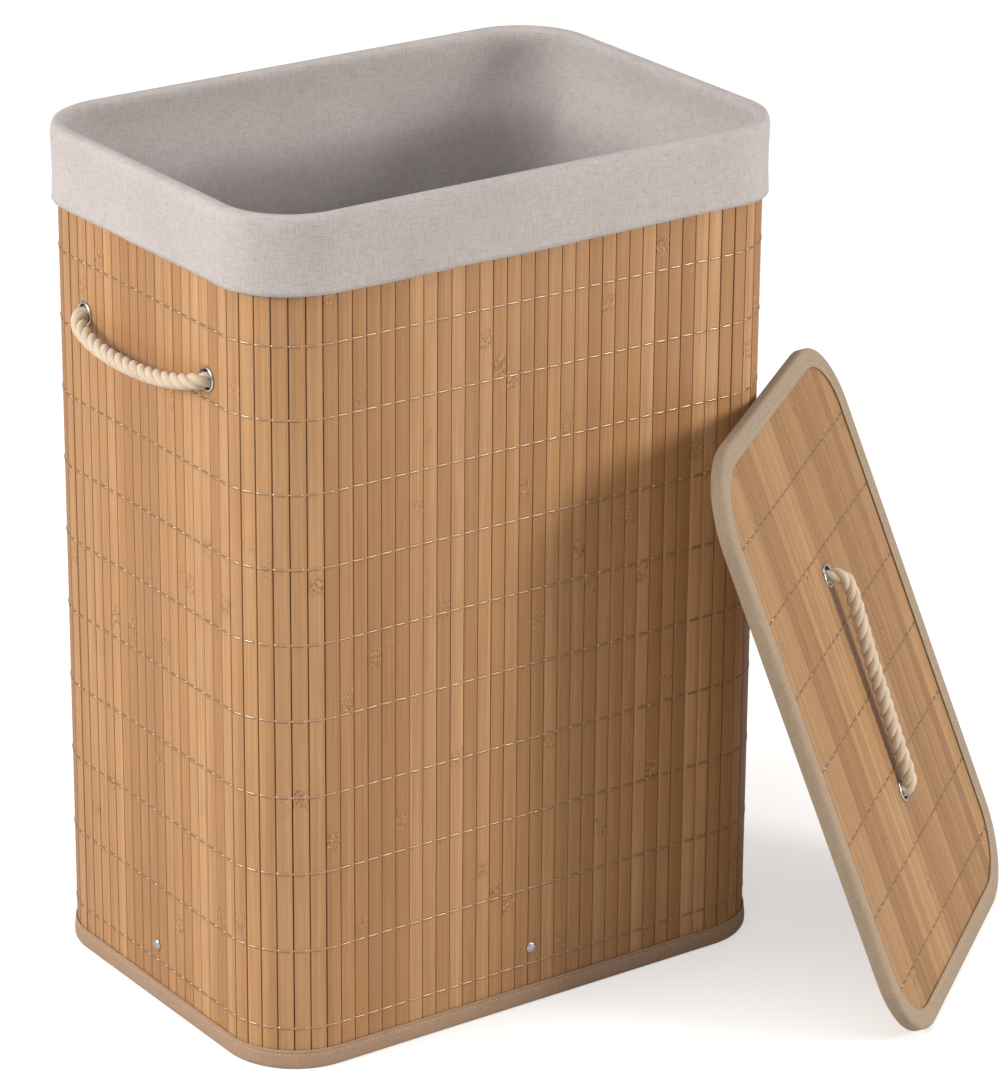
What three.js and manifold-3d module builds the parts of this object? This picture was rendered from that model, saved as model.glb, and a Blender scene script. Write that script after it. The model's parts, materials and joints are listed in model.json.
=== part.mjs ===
// A foldable bamboo laundry hamper with a removable lid, in millimetres, +Z up.
// The hamper stands on the plane z = 0 with its base centred on the origin, its long sides
// along X and its short sides along Y. The lid stands on its foot beside the hamper and
// leans back on the hamper's front right corner.
import * as THREE from "three";
import { mergeVertices } from "three/addons/utils/BufferGeometryUtils.js";
import Module from "manifold-3d";

const wasm = await Module();
wasm.setup();

// ---- Driving dimensions -------------------------------------------------------------

const GAP = 0.3; // clearance between touching pieces
const BODY_LENGTH = 420; // outside of the slat wall along X
const BODY_WIDTH = 295; // outside of the slat wall along Y
const BODY_HEIGHT = 600; // floor to the top of the liner's fold
const CORNER_RADIUS = 52; // plan radius of the wall's corners

const SLAT_PITCH = 11; // one bamboo slat and its gap
const SLAT_THICKNESS = 3;
const SLAT_GROOVE = 0.9; // open gap between two slats at the surface
const SLAT_WEB = 1.2; // material left behind a groove, where the weave holds the slats

const WEAVE_FIRST = 30; // height of the lowest weave cord
const WEAVE_PITCH = 57.5; // spacing of the lowest two weave cords
const WEAVE_EASE = 0.95; // each spacing is this much less than the one below it
const WEAVE_CORD = 1; // thickness of a weave cord
const WEAVE_CLEAR = 6; // least distance from the highest weave cord to the top tape

const TAPE_THICKNESS = 2; // folded cotton binding tape
const TAPE_HEIGHT = 14; // how far the tape reaches up or down the slats

const BASE_THICKNESS = 6; // fabric-covered base panel
const ROD_RADIUS = 2; // crossed steel brace rods
const ROD_SPACE = 1.2; // clear space between the rods where they cross
const CLIP_WIDTH = 18;
const CLIP_HEIGHT = 20;
const CLIP_DEPTH = 11;
const CLIP_SOCKET = 6; // depth of the blind hole that takes a rod's end
const ROD_END_CLEAR = 1; // rod's end to the bottom of its hole, and rivet's to the hole
const RIVET_HEIGHT = 42; // height of the four wall rivets
const RIVET_HEAD = 4.2; // radius of a rivet's domed head
const RIVET_DOME = 2.2; // how far the head stands proud
const RIVET_SHANK = 1.8; // radius of a rivet's shank

const LINER_THICKNESS = 1.5; // cotton linen liner bag
const LINER_CLEAR = 4.5; // bag's sides to the rope knots behind the wall
const LINER_FLOOR_CLEAR = 3.4; // bag's floor to the upper brace rod
const LINER_FOOT_ROUND = 8; // round between the bag's floor and its sides
const LINER_SHOULDER = 32; // height over which the bag's sides come in from the rim
const CUFF_HEIGHT = 56; // how far the liner folds down over the outside
const CUFF_FLARE = 1.2; // how far the cuff's hem stands off the slats
const CUFF_DROP = 4; // how far the fold's width reaches below the tape
const CUFF_EASE = 8; // height over which the cuff then comes in to the slats

const ROPE_RADIUS = 5.5; // twisted cotton rope
const ROPE_CLEAR = 1.8; // rope's skin to the surface that it hangs on, at its ends
const EYELET_CLEAR = 1.2; // rope's skin to the eyelet's bore
const EYELET_WALL = 0.6; // metal of the tube through the wall
const EYELET_LIP = 1.2; // rolled ring's edge past the tube
const EYELET_EDGE = 0.5; // height of the ring's outer edge
const EYELET_RISE = 1.3; // how far the ring stands proud
const EYELET_MOUTH = 0.96; // height of the ring at its bore
const WASHER_THICKNESS = 0.9; // ring behind the wall that the tube is rolled over
const KNOT_RADIUS = 10;
const KNOT_DEPTH = 12; // along the rope

const HANDLE_DROP = 122; // eyelets of the two carrying handles, below the rim
const HANDLE_MARGIN = 18.5; // eyelet to the end of the flat wall

const LID_OVERHANG = 6; // lid beyond the slat wall on every side
const LID_CORE = 2.6; // backing board
const LID_TAPE_WIDTH = 14; // how far the lid's tape reaches in from its edge
const LID_LEAN = 21.1; // degrees from upright
const LID_TURN = 37.6; // degrees that the lid's foot is turned from the front
const LID_SHIFT = -7.5; // foot's middle past the corner's middle, towards the rear
const LID_EYELET_SPACING = 164;

// Routes of the rope between two eyelets, from one swing point to the other: along the
// line of the eyelets from its middle, out from the swing axis, and up or down.
const HANDLE_ROUTE = [
  [77, 0, 0],
  [70, 1.7, -4.6],
  [58, 3.9, -8],
  [42, 5.5, -10.3],
  [22, 6.3, -11.5],
  [0, 6.3, -11.5],
  [-22, 5.9, -10.4],
  [-42, 4.7, -8.1],
  [-58, 3.1, -5.2],
  [-70, 1.3, -2.2],
  [-77, 0, 0],
];
const LID_ROUTE = [
  [82, 0, 0],
  [78, 3.2, 0],
  [70, 5.4, 0],
  [56, 5, 0],
  [38, 3.8, 0],
  [18, 2.6, 0],
  [-4, 1.8, 0],
  [-28, 1, 0],
  [-52, 0.4, 0],
  [-72, 0, 0],
  [-82, 0, 0],
];

// ---- Worked-out sizes ---------------------------------------------------------------

const HALF_LENGTH = BODY_LENGTH / 2;
const HALF_WIDTH = BODY_WIDTH / 2;
const FLAT_LENGTH = BODY_LENGTH - 2 * CORNER_RADIUS;
const FLAT_WIDTH = BODY_WIDTH - 2 * CORNER_RADIUS;
const CORNER_SLATS = Math.round((CORNER_RADIUS * Math.PI) / 2 / SLAT_PITCH);
const TAPE_OUT = GAP + TAPE_THICKNESS; // outside of the tape, from the slats' outer face
const TAPE_IN = SLAT_THICKNESS + GAP + TAPE_THICKNESS; // inside of the tape, likewise
const MAT_BOTTOM = TAPE_THICKNESS + GAP;
const MAT_TOP = BODY_HEIGHT - LINER_THICKNESS - GAP - TAPE_THICKNESS - GAP;
const TAPE_FOOT = MAT_TOP + GAP + TAPE_THICKNESS - TAPE_HEIGHT; // lower edge of the top tape
const ROD_RISE = ROD_RADIUS + ROD_SPACE / 2; // each rod's axis above or below the rivets
const LINER_FLOOR = RIVET_HEIGHT + ROD_RISE + ROD_RADIUS + LINER_FLOOR_CLEAR;
const KNOT_REACH = SLAT_THICKNESS + 2 * GAP + WASHER_THICKNESS + KNOT_DEPTH;
const CLIP_REACH = SLAT_THICKNESS + GAP + CLIP_DEPTH;
const LINER_INSET = Math.max(KNOT_REACH, CLIP_REACH) + LINER_CLEAR;
const EYELET_BORE = ROPE_RADIUS + EYELET_CLEAR;
const EYELET_BARREL = EYELET_BORE + EYELET_WALL;
const EYELET_FLANGE = EYELET_BARREL + EYELET_LIP;
const ROPE_STANDOFF = ROPE_RADIUS + ROPE_CLEAR; // swing axis to the surface
const HANDLE_HEIGHT = BODY_HEIGHT - HANDLE_DROP;
const HANDLE_SPACING = FLAT_WIDTH - 2 * HANDLE_MARGIN; // eyelet to eyelet along Y
const LID_LENGTH = BODY_LENGTH + 2 * LID_OVERHANG;
const LID_WIDTH = BODY_WIDTH + 2 * LID_OVERHANG;
const LID_RADIUS = CORNER_RADIUS + LID_OVERHANG;

// ---- Finishes -----------------------------------------------------------------------

const finish = (color, roughness, metalness = 0) => () =>
  new THREE.MeshStandardMaterial({ color, roughness, metalness });
const bamboo = finish(0xc49a68, 0.55);
const weave = finish(0xb98f68, 0.8);
const tape = finish(0xb59c7c, 0.9);
const linen = finish(0xd9d3cb, 0.95);
const rope = finish(0xe6d8bd, 0.9);
const chrome = finish(0xc4c6c8, 0.25, 1);
const steel = finish(0x8c9094, 0.4, 1);
const nylon = finish(0x3b3a38, 0.6);
const board = finish(0xa9977c, 0.9);

// ---- Solids -------------------------------------------------------------------------

const toSolid = (geometry) => {
  const bare = geometry.index ? geometry.toNonIndexed() : geometry.clone();
  bare.deleteAttribute("normal");
  bare.deleteAttribute("uv");
  const merged = mergeVertices(bare, 1e-4);
  return new wasm.Manifold(
    new wasm.Mesh({
      numProp: 3,
      vertProperties: merged.attributes.position.array,
      triVerts: new Uint32Array(merged.index.array),
    }),
  );
};

const toGeometry = (solid) => {
  const mesh = solid.getMesh();
  const geometry = new THREE.BufferGeometry();
  geometry.setAttribute("position", new THREE.BufferAttribute(mesh.vertProperties, 3));
  geometry.setIndex(new THREE.BufferAttribute(mesh.triVerts, 1));
  const faceted = geometry.toNonIndexed();
  faceted.computeVertexNormals();
  return faceted;
};

const cut = (geometry, tools) =>
  toGeometry(tools.reduce((solid, tool) => solid.subtract(toSolid(tool)), toSolid(geometry)));

const join = (geometries) =>
  toGeometry(geometries.map(toSolid).reduce((whole, solid) => whole.add(solid)));

const place = (parent, name, geometry, makeMaterial) => {
  const mesh = new THREE.Mesh(geometry, makeMaterial());
  mesh.name = name;
  parent.add(mesh);
  return mesh;
};

// A lathed ring or pin whose axis runs from `from` along the direction `along`.
const lathe = (profile, sides, from, along) => {
  const geometry = new THREE.LatheGeometry(
    profile.map(([radius, height]) => new THREE.Vector2(radius, height)),
    sides,
  );
  const turn = new THREE.Quaternion().setFromUnitVectors(new THREE.Vector3(0, 1, 0), along);
  return geometry.applyQuaternion(turn).translate(from.x, from.y, from.z);
};

const drill = (radius, depth, from, along, sides = 16) =>
  lathe([[0, 0], [radius, 0], [radius, depth], [0, depth]], sides, from, along);

// The plan outline of the slat wall moved out by `offset`: [x, y] anticlockwise from the
// right-hand side. Every outline has one facet for each slat of a corner.
const outline = (length, width, radius, offset) => {
  const points = [];
  const centres = [[1, 1], [-1, 1], [-1, -1], [1, -1]];
  centres.forEach(([sx, sy], quarter) => {
    for (let i = 0; i <= CORNER_SLATS; i++) {
      const angle = (quarter + i / CORNER_SLATS) * (Math.PI / 2);
      points.push([
        sx * (length / 2 - radius) + (radius + offset) * Math.cos(angle),
        sy * (width / 2 - radius) + (radius + offset) * Math.sin(angle),
      ]);
    }
  });
  return points;
};

// A ring swept round the outline. `section` is a closed run of [offset, height], going
// anticlockwise where offset points right and height points up.
const sweptRing = (section, length, width, radius) => {
  const rings = section.map(([offset, height]) =>
    outline(length, width, radius, offset).map(([x, y]) => [x, y, height]),
  );
  const around = rings[0].length;
  const index = [];
  rings.forEach((_, i) => {
    const next = (i + 1) % rings.length;
    for (let j = 0; j < around; j++) {
      const a = i * around + j;
      const b = i * around + ((j + 1) % around);
      const c = next * around + j;
      const d = next * around + ((j + 1) % around);
      index.push(a, b, d, a, d, c);
    }
  });
  const geometry = new THREE.BufferGeometry();
  geometry.setAttribute("position", new THREE.Float32BufferAttribute(rings.flat(2), 3));
  geometry.setIndex(index);
  geometry.computeVertexNormals();
  return geometry;
};

// A shell whose section starts and ends on the middle of its floor: the outer skin runs
// from the middle out and up, over the rim, and the inner skin runs back to the middle.
const sweptBag = (section, length, width, radius) => {
  const rings = section.map(([offset, height]) =>
    outline(length, width, radius, offset).map(([x, y]) => [x, y, height]),
  );
  const around = rings[0].length;
  const positions = rings.flat(2);
  const start = rings.length * around;
  positions.push(0, 0, section[0][1], 0, 0, section[section.length - 1][1]);
  const index = [];
  for (let j = 0; j < around; j++) {
    const k = (j + 1) % around;
    index.push(start, k, j);
    for (let i = 0; i + 1 < rings.length; i++) {
      const a = i * around;
      const b = a + around;
      index.push(a + j, a + k, b + k, a + j, b + k, b + j);
    }
    const last = (rings.length - 1) * around;
    index.push(start + 1, last + j, last + k);
  }
  const geometry = new THREE.BufferGeometry();
  geometry.setAttribute("position", new THREE.Float32BufferAttribute(positions, 3));
  geometry.setIndex(index);
  geometry.computeVertexNormals();
  return geometry;
};

const plate = (points, bottom, top) => {
  const shape = new THREE.Shape(points.map(([x, y]) => new THREE.Vector2(x, y)));
  const depth = top - bottom;
  return new THREE.ExtrudeGeometry(shape, { depth, bevelEnabled: false }).translate(0, 0, bottom);
};

// The plan section of `count` slats side by side along +X from 0 to `span`, outer face on
// y = 0 and inner face on y = -SLAT_THICKNESS, with a groove at each joint.
const slatRun = (span, count) => {
  const points = [[GAP / 2, -SLAT_THICKNESS], [span - GAP / 2, -SLAT_THICKNESS]];
  const depth = SLAT_THICKNESS - SLAT_WEB;
  points.push([span - GAP / 2, -depth], [span - SLAT_GROOVE / 2, 0]);
  for (let i = count - 1; i > 0; i--) {
    const x = (span * i) / count;
    points.push([x + SLAT_GROOVE / 2, 0], [x + SLAT_GROOVE / 4, -depth]);
    points.push([x - SLAT_GROOVE / 4, -depth], [x - SLAT_GROOVE / 2, 0]);
  }
  points.push([SLAT_GROOVE / 2, 0], [GAP / 2, -depth]);
  return points;
};

// The plan section of a quarter corner of slats about its centre, from angle 0 to 90.
const cornerRun = () => {
  const polar = (radius, angle) => [radius * Math.cos(angle), radius * Math.sin(angle)];
  const step = Math.PI / 2 / CORNER_SLATS;
  const edge = GAP / 2 / CORNER_RADIUS;
  const half = SLAT_GROOVE / 2 / CORNER_RADIUS;
  const root = CORNER_RADIUS - SLAT_THICKNESS + SLAT_WEB;
  const points = [polar(root, edge)];
  for (let i = 0; i < CORNER_SLATS; i++) {
    const next = (i + 1) * step;
    points.push(polar(CORNER_RADIUS, i * step + half), polar(CORNER_RADIUS, next - half));
    if (i < CORNER_SLATS - 1)
      points.push(polar(root, next - half / 2), polar(root, next + half / 2));
  }
  points.push(polar(root, Math.PI / 2 - edge));
  const inner = CORNER_RADIUS - SLAT_THICKNESS;
  const innerEdge = GAP / 2 / inner;
  points.push(polar(inner, Math.PI / 2 - innerEdge));
  for (let i = CORNER_SLATS - 1; i > 0; i--) points.push(polar(inner, i * step));
  points.push(polar(inner, innerEdge));
  return points;
};

// A rope along a route of [along, out, up] points that is stretched to `spacing` between its
// ends, with a ball on each swing point so that it can turn there without touching what it
// hangs on. A negative spacing turns the route end for end.
const ROPE_SIDES = 8;
const ROPE_STEP = 2.2 * ROPE_RADIUS; // length of one step of the tube
const ropeArc = (route, spacing) => {
  const stretch = spacing / (route[0][0] - route[route.length - 1][0]);
  const points = route.map(([along, out, up]) => new THREE.Vector3(out, along * stretch, up));
  const curve = new THREE.CatmullRomCurve3(points);
  const corners = [];
  for (let i = 0; i < ROPE_SIDES; i++) {
    const angle = ((i + 0.5) / ROPE_SIDES) * 2 * Math.PI;
    corners.push(new THREE.Vector2(ROPE_RADIUS * Math.cos(angle), ROPE_RADIUS * Math.sin(angle)));
  }
  const tube = new THREE.ExtrudeGeometry(new THREE.Shape(corners), {
    steps: Math.round(curve.getLength() / ROPE_STEP),
    extrudePath: curve,
    bevelEnabled: false,
  });
  const balls = [points[0], points[points.length - 1]].map((p) =>
    new THREE.SphereGeometry(ROPE_RADIUS, 12, 8).rotateX(Math.PI / 2).translate(p.x, p.y, p.z),
  );
  return join([tube, ...balls]);
};

// ---- Fittings on a wall -------------------------------------------------------------

// Each fitting lies on the plane x = 0 with the outside towards +X. `wall` is the whole
// thickness that it passes through.
const X = new THREE.Vector3(1, 0, 0);
const at = (x, y, z) => new THREE.Vector3(x, y, z);

const eyelet = (wall, y, z) => {
  const back = -wall - GAP - WASHER_THICKNESS;
  return lathe(
    [
      [EYELET_BORE, back],
      [EYELET_BARREL, back],
      [EYELET_BARREL, GAP],
      [EYELET_FLANGE - EYELET_EDGE, GAP],
      [EYELET_FLANGE, GAP + EYELET_EDGE],
      [(EYELET_FLANGE + EYELET_BORE) / 2, GAP + EYELET_RISE],
      [EYELET_BORE, GAP + EYELET_MOUTH],
      [EYELET_BORE, back],
    ],
    16,
    at(0, y, z),
    X,
  );
};

const washer = (wall, y, z) => {
  const front = -wall - GAP;
  return lathe(
    [
      [EYELET_BARREL + GAP, front - WASHER_THICKNESS],
      [EYELET_FLANGE, front - WASHER_THICKNESS],
      [EYELET_FLANGE, front],
      [EYELET_BARREL + GAP, front],
      [EYELET_BARREL + GAP, front - WASHER_THICKNESS],
    ],
    16,
    at(0, y, z),
    X,
  );
};

// A knot behind the wall with the short straight of rope that fills the eyelet.
const knot = (wall, y, z) => {
  const back = -wall - 2 * GAP - WASHER_THICKNESS;
  const ball = new THREE.SphereGeometry(1, 12, 8)
    .scale(KNOT_DEPTH / 2, KNOT_RADIUS, KNOT_RADIUS)
    .translate(back - KNOT_DEPTH / 2, y, z);
  const front = ROPE_STANDOFF - ROPE_RADIUS - GAP;
  const start = back - KNOT_DEPTH / 2;
  return join([ball, drill(ROPE_RADIUS, front - start, at(start, y, z), X, 12)]);
};

const rivet = (wall, z) => {
  const end = -wall - GAP - CLIP_DEPTH + CLIP_SOCKET + ROD_END_CLEAR;
  const dome = [30, 60, 90].map((degrees) => {
    const angle = THREE.MathUtils.degToRad(degrees);
    return [RIVET_HEAD * Math.cos(angle), GAP + RIVET_DOME * Math.sin(angle)];
  });
  dome[dome.length - 1][0] = 0;
  return lathe(
    [[0, end], [RIVET_SHANK, end], [RIVET_SHANK, GAP], [RIVET_HEAD, GAP], ...dome],
    12,
    at(0, 0, z),
    X,
  );
};

// A moulded clip behind the wall: a rivet hole in its outer face and a rod socket in its
// inner face, the socket's axis `rise` above the rivet's.
const clip = (wall, z, rise) => {
  const outer = -wall - GAP;
  const inner = outer - CLIP_DEPTH;
  const body = new THREE.BoxGeometry(CLIP_DEPTH, CLIP_WIDTH, CLIP_HEIGHT);
  body.translate(outer - CLIP_DEPTH / 2, 0, z);
  const holeBottom = inner + CLIP_SOCKET;
  const rivetHole = drill(RIVET_SHANK + GAP, CLIP_DEPTH, at(holeBottom, 0, z), X, 12);
  const socketStart = inner - ROD_END_CLEAR;
  const socket = drill(ROD_RADIUS + GAP, CLIP_SOCKET, at(socketStart, 0, z + rise), X, 12);
  return cut(body, [rivetHole, socket]);
};

// ---- The hamper ---------------------------------------------------------------------

const hamper = new THREE.Group();

const sides = [
  { name: "right", angle: 0, half: HALF_LENGTH, span: FLAT_WIDTH, handle: true },
  { name: "rear", angle: 90, half: HALF_WIDTH, span: FLAT_LENGTH, handle: false },
  { name: "left", angle: 180, half: HALF_LENGTH, span: FLAT_WIDTH, handle: true },
  { name: "front", angle: 270, half: HALF_WIDTH, span: FLAT_LENGTH, handle: false },
];
const ends = [
  { name: "rear", y: HANDLE_SPACING / 2 },
  { name: "front", y: -HANDLE_SPACING / 2 },
];

sides.forEach(({ name, angle, half, span, handle }) => {
  // Each side is built with its outer face on x = 0 and then carried out to its place.
  const side = new THREE.Group();
  side.rotation.z = THREE.MathUtils.degToRad(angle);
  hamper.add(side);
  const face = new THREE.Group();
  face.position.x = half;
  side.add(face);

  const run = slatRun(span, Math.round(span / SLAT_PITCH));
  const wall = plate(run.map(([x, y]) => [y, span / 2 - x]), MAT_BOTTOM, MAT_TOP);
  const through = 3 * SLAT_THICKNESS; // a hole's tool stands out of the wall on both sides
  const hole = (radius, y, z) => drill(radius + GAP, through, at(-2 * SLAT_THICKNESS, y, z), X);
  const holes = [hole(RIVET_SHANK, 0, RIVET_HEIGHT)];
  if (handle) ends.forEach(({ y }) => holes.push(hole(EYELET_BARREL, y, HANDLE_HEIGHT)));
  place(face, `slat_wall_${name}`, cut(wall, holes), bamboo);

  place(face, `rivet_${name}`, rivet(SLAT_THICKNESS, RIVET_HEIGHT), chrome);
  const rise = handle ? -ROD_RISE : ROD_RISE;
  place(face, `rod_clip_${name}`, clip(SLAT_THICKNESS, RIVET_HEIGHT, rise), nylon);

  if (!handle) return;
  // The left side is the right side turned half round, so its rear end has y < 0 here.
  const direction = angle === 180 ? -1 : 1;
  ends.forEach(({ name: end, y }) => {
    const spot = [SLAT_THICKNESS, direction * y, HANDLE_HEIGHT];
    place(face, `eyelet_${name}_${end}`, eyelet(...spot), chrome);
    place(face, `eyelet_washer_${name}_${end}`, washer(...spot), chrome);
    place(face, `rope_knot_${name}_${end}`, knot(...spot), rope);
  });
  const arc = ropeArc(HANDLE_ROUTE, direction * HANDLE_SPACING);
  place(face, `carry_rope_${name}`, arc, rope).position.set(ROPE_STANDOFF, 0, HANDLE_HEIGHT);
});

const quarters = [
  { name: "rear_right", sx: 1, sy: 1, angle: 0 },
  { name: "rear_left", sx: -1, sy: 1, angle: 90 },
  { name: "front_left", sx: -1, sy: -1, angle: 180 },
  { name: "front_right", sx: 1, sy: -1, angle: 270 },
];
quarters.forEach(({ name, sx, sy, angle }) => {
  const quarter = plate(cornerRun(), MAT_BOTTOM, MAT_TOP);
  const corner = place(hamper, `slat_corner_${name}`, quarter, bamboo);
  corner.position.set((sx * FLAT_LENGTH) / 2, (sy * FLAT_WIDTH) / 2, 0);
  corner.rotation.z = THREE.MathUtils.degToRad(angle);
});

// Folded tape round an edge at height `edge`, reaching along the slats by TAPE_HEIGHT in
// the direction `up`, 1 or -1.
const tapeSection = (edge, up) => {
  const points = [
    [-TAPE_IN, 0],
    [TAPE_OUT, 0],
    [TAPE_OUT, TAPE_HEIGHT],
    [GAP, TAPE_HEIGHT],
    [GAP, TAPE_THICKNESS],
    [-SLAT_THICKNESS - GAP, TAPE_THICKNESS],
    [-SLAT_THICKNESS - GAP, TAPE_HEIGHT],
    [-TAPE_IN, TAPE_HEIGHT],
  ].map(([offset, height]) => [offset, edge + up * height]);
  return up > 0 ? points : points.reverse();
};
const bodyRing = (section) => sweptRing(section, BODY_LENGTH, BODY_WIDTH, CORNER_RADIUS);
place(hamper, "bottom_binding", bodyRing(tapeSection(0, 1)), tape);
place(hamper, "top_binding", bodyRing(tapeSection(MAT_TOP + GAP + TAPE_THICKNESS, -1)), tape);

// As many weave cords as fit between the tapes.
const weaveHeight = (row) => WEAVE_FIRST + row * WEAVE_PITCH - (WEAVE_EASE * row * (row - 1)) / 2;
for (let row = 0; weaveHeight(row) < TAPE_FOOT - WEAVE_CLEAR; row++) {
  const height = weaveHeight(row);
  const section = [
    [GAP, height - WEAVE_CORD / 2],
    [GAP + WEAVE_CORD, height - WEAVE_CORD / 2],
    [GAP + WEAVE_CORD, height + WEAVE_CORD / 2],
    [GAP, height + WEAVE_CORD / 2],
  ];
  place(hamper, `weave_cord_${String(row + 1).padStart(2, "0")}`, bodyRing(section), weave);
}

const basePoints = outline(BODY_LENGTH, BODY_WIDTH, CORNER_RADIUS, -TAPE_IN - GAP);
place(hamper, "base_panel", plate(basePoints, 0, BASE_THICKNESS), board);

// A brace rod from the bottom of one clip's socket to the other's.
const Y = new THREE.Vector3(0, 1, 0);
const rod = (half, height, along) => {
  const end = half - CLIP_REACH + CLIP_SOCKET - ROD_END_CLEAR - GAP;
  const profile = [[0, -end], [ROD_RADIUS, -end], [ROD_RADIUS, end], [0, end]];
  return lathe(profile, 12, at(0, 0, height), along);
};
place(hamper, "brace_rod_long", rod(HALF_LENGTH, RIVET_HEIGHT - ROD_RISE, X), steel);
place(hamper, "brace_rod_short", rod(HALF_WIDTH, RIVET_HEIGHT + ROD_RISE, Y), steel);

// The liner bag. Its fold lies on the top tape and its cuff hangs outside, over the weave.
const cuffIn = TAPE_OUT + GAP;
const cuffLow = GAP + WEAVE_CORD + GAP;
const cuffTop = TAPE_FOOT - CUFF_DROP;
const cuffBend = cuffTop - CUFF_EASE;
const cuffHem = BODY_HEIGHT - CUFF_HEIGHT;
const bagIn = TAPE_IN + GAP;
const shoulder = cuffTop - LINER_SHOULDER;
const skin = LINER_THICKNESS;
const linerSection = [
  [-LINER_INSET - skin - LINER_FOOT_ROUND, LINER_FLOOR],
  [-LINER_INSET - LINER_FOOT_ROUND, LINER_FLOOR],
  [-LINER_INSET, LINER_FLOOR + LINER_FOOT_ROUND],
  [-LINER_INSET, shoulder],
  [-bagIn, cuffTop],
  [-bagIn, BODY_HEIGHT - skin],
  [cuffIn, BODY_HEIGHT - skin],
  [cuffIn, cuffTop],
  [cuffLow, cuffBend],
  [cuffLow + CUFF_FLARE, cuffHem],
  [cuffLow + CUFF_FLARE + skin, cuffHem],
  [cuffLow + skin, cuffBend],
  [cuffIn + skin, cuffTop],
  [cuffIn + skin, BODY_HEIGHT - skin],
  [cuffIn, BODY_HEIGHT],
  [-bagIn, BODY_HEIGHT],
  [-bagIn - skin, BODY_HEIGHT - skin],
  [-bagIn - skin, cuffTop],
  [-LINER_INSET - skin, shoulder],
  [-LINER_INSET - skin, LINER_FLOOR + LINER_FOOT_ROUND],
  [-LINER_INSET - skin - LINER_FOOT_ROUND, LINER_FLOOR + skin],
];
place(hamper, "liner_bag", sweptBag(linerSection, BODY_LENGTH, BODY_WIDTH, CORNER_RADIUS), linen);

// ---- The lid ------------------------------------------------------------------------

// In the lid's own axes +X points out of its upper face, +Y along its foot and +Z up the
// slats, with the middle of its thickness and of its outline at the origin.
const lid = new THREE.Group();
const lidHalfCore = (SLAT_THICKNESS + GAP + LID_CORE) / 2;
const lidFace = lidHalfCore; // outer face of the slats
const lidBack = -lidHalfCore; // inner face of the backing board
const lidSkin = GAP + TAPE_THICKNESS;
const lidHalfThickness = lidHalfCore + lidSkin;

// A ring or plate in the lid's axes, from one built flat: x to Z, y to Y, z to X.
const stand = (geometry) => geometry.applyMatrix4(
  new THREE.Matrix4().makeBasis(at(0, 0, -1), at(0, 1, 0), at(1, 0, 0)),
);
const lidOutline = (offset) => outline(LID_LENGTH, LID_WIDTH, LID_RADIUS, offset);

const lidEyeletHoles = () =>
  [1, -1].map((end) => {
    const start = at(-lidHalfThickness, 0, (end * LID_EYELET_SPACING) / 2);
    return drill(EYELET_BARREL + GAP, 2 * lidHalfThickness, start, X);
  });
const lidSpan = LID_WIDTH - 2 * lidSkin; // the slats and the board lie inside the tape
const lidRun = slatRun(lidSpan, Math.round(lidSpan / SLAT_PITCH));
const slatPlan = lidRun.map(([x, y]) => [y, lidSpan / 2 - x]);
const slatBlock = plate(slatPlan, -LID_LENGTH / 2, LID_LENGTH / 2).translate(lidFace, 0, 0);
const slatCutter = stand(plate(lidOutline(-lidSkin), -lidHalfThickness, lidHalfThickness));
const lidSlatSolid = toSolid(slatBlock).intersect(toSolid(slatCutter));
place(lid, "lid_slat_mat", cut(toGeometry(lidSlatSolid), lidEyeletHoles()), bamboo);

const core = stand(plate(lidOutline(-lidSkin), lidBack, lidBack + LID_CORE));
place(lid, "lid_backing_board", cut(core, lidEyeletHoles()), board);

const lidTape = [
  [0, -lidHalfThickness],
  [0, lidHalfThickness],
  [-LID_TAPE_WIDTH, lidHalfThickness],
  [-LID_TAPE_WIDTH, lidFace + GAP],
  [-TAPE_THICKNESS, lidFace + GAP],
  [-TAPE_THICKNESS, lidBack - GAP],
  [-LID_TAPE_WIDTH, lidBack - GAP],
  [-LID_TAPE_WIDTH, -lidHalfThickness],
];
place(lid, "lid_binding", stand(sweptRing(lidTape, LID_LENGTH, LID_WIDTH, LID_RADIUS)), tape);

const lidFittings = new THREE.Group();
lidFittings.position.x = lidFace;
lid.add(lidFittings);
[["upper", 1], ["lower", -1]].forEach(([name, end]) => {
  const spot = [2 * lidHalfCore, 0, (end * LID_EYELET_SPACING) / 2];
  place(lidFittings, `lid_eyelet_${name}`, eyelet(...spot), chrome);
  place(lidFittings, `lid_eyelet_washer_${name}`, washer(...spot), chrome);
  place(lidFittings, `lid_rope_knot_${name}`, knot(...spot), rope);
});
const lidRope = ropeArc(LID_ROUTE, LID_EYELET_SPACING).rotateX(Math.PI / 2);
place(lidFittings, "lid_rope", lidRope, rope).position.x = ROPE_STANDOFF;

// The lid leans until its back edge meets the wall's front right corner, a gap away.
const lean = THREE.MathUtils.degToRad(LID_LEAN);
const turn = THREE.MathUtils.degToRad(LID_TURN);
const outward = at(Math.sin(turn), -Math.cos(turn), 0);
const sideways = at(Math.cos(turn), Math.sin(turn), 0);
const upward = at(0, 0, 1);
const tilted = (along, across, share) =>
  along.clone().multiplyScalar(Math.cos(lean)).addScaledVector(across, share * Math.sin(lean));
const slope = tilted(upward, outward, -1);
const normal = tilted(outward, upward, 1);
lid.quaternion.setFromRotationMatrix(new THREE.Matrix4().makeBasis(normal, sideways, slope));
const reach = (LID_LENGTH / 2) * Math.sin(lean) + lidHalfThickness * Math.cos(lean);
const standoff = CORNER_RADIUS + GAP + WEAVE_CORD + GAP + reach;
lid.position
  .set(HALF_LENGTH - CORNER_RADIUS, CORNER_RADIUS - HALF_WIDTH, 0)
  .addScaledVector(outward, standoff)
  .addScaledVector(sideways, LID_SHIFT);
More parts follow.
